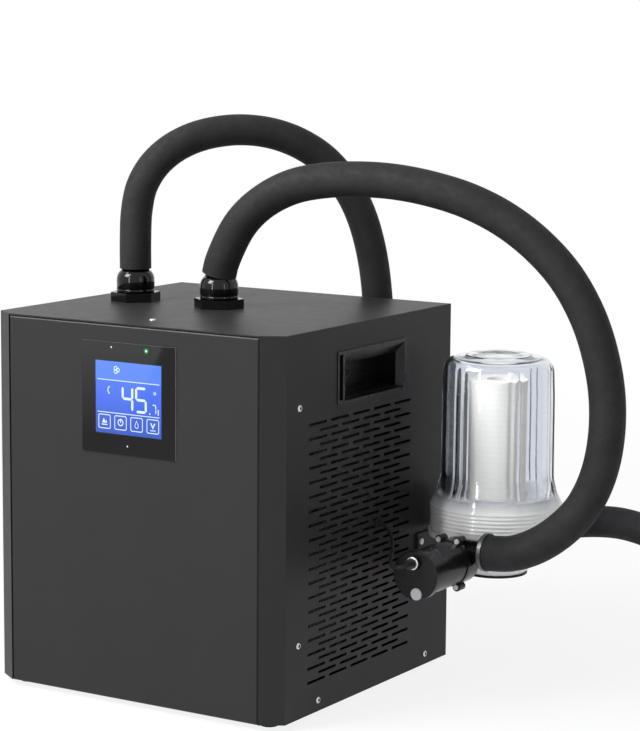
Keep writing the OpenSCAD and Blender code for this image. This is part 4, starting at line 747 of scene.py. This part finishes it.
def make_display():
    # Painted light: the two printed dots glow with the display's white light.
    glass_dot(0.32, 0.045)
    glass_dot(0.49, 0.92)
    for v in (0.255, 0.705):
        bar(0.03, v, 0.97, v + 0.011)
    third_turn = 2.094
    for k in range(3):
        ring(0.32 + 0.022 * math.cos(k * third_turn), 0.115 + 0.025 * math.sin(k * third_turn),
             0.03, 0.012, steps=14)
    ring(0.235, 0.40, 0.055, 0.014, 110, 250, 8)
    number("fgbc", 0.415, 0.335, 0.145, 0.325, 0.032)
    number("afgcd", 0.62, 0.335, 0.145, 0.325, 0.032)
    number("abc", 0.865, 0.545, 0.05, 0.12, 0.014)
    bar(0.815, 0.66, 0.833, 0.68)
    bar(0.945, 0.60, 0.96, 0.68)
    ring(0.9, 0.385, 0.02, 0.01)
    keys_v = 0.84
    for u, sign in ((0.135, heat_sign), (0.38, power_sign), (0.625, drop_sign),
                    (0.87, down_sign)):
        key_frame(u, keys_v)
        sign(u, keys_v)
    points, faces = [], []
    for outline in MARKS:
        faces.append(tuple(range(len(points), len(points) + len(outline))))
        points += outline
    solid("display_marks", points, faces, "chiller", "display_blue", smooth=False,
          look=glowing("display_white", linear(214, 234, 255), 1.0))
    band = [on_display(u, v, BAND_OUT) for u, v in ((0, 0), (1, 0), (1, BAND_LOW), (0, BAND_LOW))]
    solid("display_band", band, [(0, 1, 2, 3)], "chiller", "display_blue", smooth=False,
          look=glowing("display_band", linear(82, 128, 236), 1.0))


make_display()


def lamp_light(r):
    """A green glow that fades out to radius r, white in its middle."""
    m, tree, bsdf = shader("lamp_glow")
    bsdf.inputs["Base Color"].default_value = linear(10, 10, 12)
    core_in, core_out, halo_in = 0.9 * MM, 2 * MM, 0.5 * MM
    core_strength, halo_strength, halo_cover = 1.0, 0.5, 0.9
    far = length_of(tree, own_place(tree))
    core = ranged(tree, far, core_strength, 0, core_in, core_out)
    blended(tree, bsdf.inputs["Emission Color"], core, linear(60, 210, 110),
            linear(222, 255, 236))
    halo = ranged(tree, far, halo_strength, 0, halo_in, r * 0.9)
    tree.links.new(combined(tree, "MAXIMUM", halo, core), bsdf.inputs["Emission Strength"])
    tree.links.new(ranged(tree, far, halo_cover, 0, halo_in, r), bsdf.inputs["Alpha"])
    return m


def make_lamp_glow():
    """The soft green light that the status lamp throws on the glass round it."""
    r, steps = 6 * MM, 24
    low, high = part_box("status_lamp")
    x, z = (low[0] + high[0]) / 2, (low[2] + high[2]) / 2
    angles = [math.radians(360 / steps * k) for k in range(steps)]
    mesh = bpy.data.meshes.new("lamp_glow")
    mesh.from_pydata([(r * math.cos(a), 0, r * math.sin(a)) for a in angles], [],
                     [tuple(range(steps))])
    glow = bpy.data.objects.new("lamp_glow", mesh)
    glow.location = (x, at(0, GLASS_Y - MARK_OUT, 0).y, z)
    piece(glow, "chiller", "lamp_green", look=lamp_light(r))


make_lamp_glow()


# ---------- floor and light ----------
FLOOR_HALF, FLOOR_DROP = 9, 0.0005


def seen(tree):
    """One for the rays of the camera, of mirrors and of clear pieces, else nought."""
    path = tree.nodes.new("ShaderNodeLightPath")
    out = path.outputs["Is Camera Ray"]
    for other in ("Is Glossy Ray", "Is Transmission Ray"):
        out = combined(tree, "MAXIMUM", out, path.outputs[other])
    return out


def staged(name, points, material):
    """One flat face of the stage."""
    mesh = bpy.data.meshes.new(name)
    mesh.from_pydata([tuple(p) for p in points], [], [tuple(range(len(points)))])
    mesh.materials.append(material)
    obj = bpy.data.objects.new(name, mesh)
    bpy.context.scene.collection.objects.link(obj)
    return obj


def make_floor():
    """A pale floor that goes over into plain white with the distance, where it is seen."""
    m, tree, bsdf = shader("floor")
    bsdf.inputs["Base Color"].default_value = (0.86, 0.86, 0.87, 1)
    bsdf.inputs["Roughness"].default_value = 0.9
    near_share, far_share, near, far = 0.86, 1.0, 0.3, 2.2
    share = ranged(tree, length_of(tree, own_place(tree)), near_share, far_share, near, far)
    end_in_mix(tree, combined(tree, "MULTIPLY", seen(tree), share), bsdf, white_light(tree))
    h = FLOOR_HALF
    floor = staged("floor", [(-h, -h, 0), (h, -h, 0), (h, h, 0), (-h, h, 0)], m)
    floor.location.z = -FLOOR_DROP


def make_world():
    """White all round, and dimmer as a light than where it is seen."""
    world = bpy.data.worlds.new("studio")
    bpy.context.scene.world = world
    world.use_nodes = True
    tree = world.node_tree
    back = tree.nodes["Background"]
    back.inputs["Color"].default_value = (1, 1, 1, 1)
    as_light, as_seen = 0.3, 1.0
    tree.links.new(ranged(tree, seen(tree), as_light, as_seen, 0, 1), back.inputs["Strength"])


# The card's corners as the camera sees them in the glass, in shares of the glass.
CARD_SHARES = [(-0.5, -0.2), (0.968, -0.2), (0.356, 1.0), (-0.5, 1.0)]
CARD_Y = -600


def make_card():
    """A white card that only reflections see, for the pale corner of the glass."""
    camera = bpy.context.scene.camera.location
    mirrored = Vector((camera.x, 2 * at(0, GLASS_Y, 0).y - camera.y, camera.z))
    card_y = at(0, CARD_Y, 0).y
    corners = []
    for u, v in CARD_SHARES:
        on = at(GLASS_X - GLASS_W / 2 + GLASS_W * u, GLASS_Y, GLASS_TOP_Z - GLASS_H * v)
        corners.append(mirrored + (on - mirrored) * (card_y - mirrored.y) / (on.y - mirrored.y))
    m, tree, _ = shader("card")
    light = white_light(tree)
    dim, bright = 0.95, 2.7
    top = max(p.z for p in corners)
    dim_below, bright_above = top - 0.16, top - 0.04
    height = part_of(tree, own_place(tree), "Z")
    tree.links.new(ranged(tree, height, dim, bright, dim_below, bright_above),
                   light.inputs["Strength"])
    end_in(tree, light)
    card = staged("card", corners, m)
    card.visible_camera = card.visible_diffuse = False
    card.visible_shadow = card.visible_transmission = False


def softbox(name, place, target, size, power):
    lamp = bpy.data.lights.new(name, "AREA")
    lamp.shape, lamp.size, lamp.size_y, lamp.energy = "RECTANGLE", size[0], size[1], power
    obj = bpy.data.objects.new(name, lamp)
    obj.location = place
    obj.rotation_euler = (Vector(target) - Vector(place)).to_track_quat("-Z", "Y").to_euler()
    bpy.context.scene.collection.objects.link(obj)


bpy.context.scene.view_settings.view_transform = "Standard"
make_floor()
make_world()
make_card()
softbox("key", (-1.1, -1.8, 2.1), (0, 0, 0.3), (1.2, 1.2), 96)
softbox("top", (-1.25, -0.4, 2.3), (0, -0.1, 0.4), (0.4, 0.4), 5)
softbox("strip_front", (-0.35, -2.3, 0.85), (0, 0, 0.5), (0.1, 1.6), 14)
softbox("strip_right", (2.1, -1.0, 0.85), (0, 0, 0.5), (0.1, 1.6), 4)
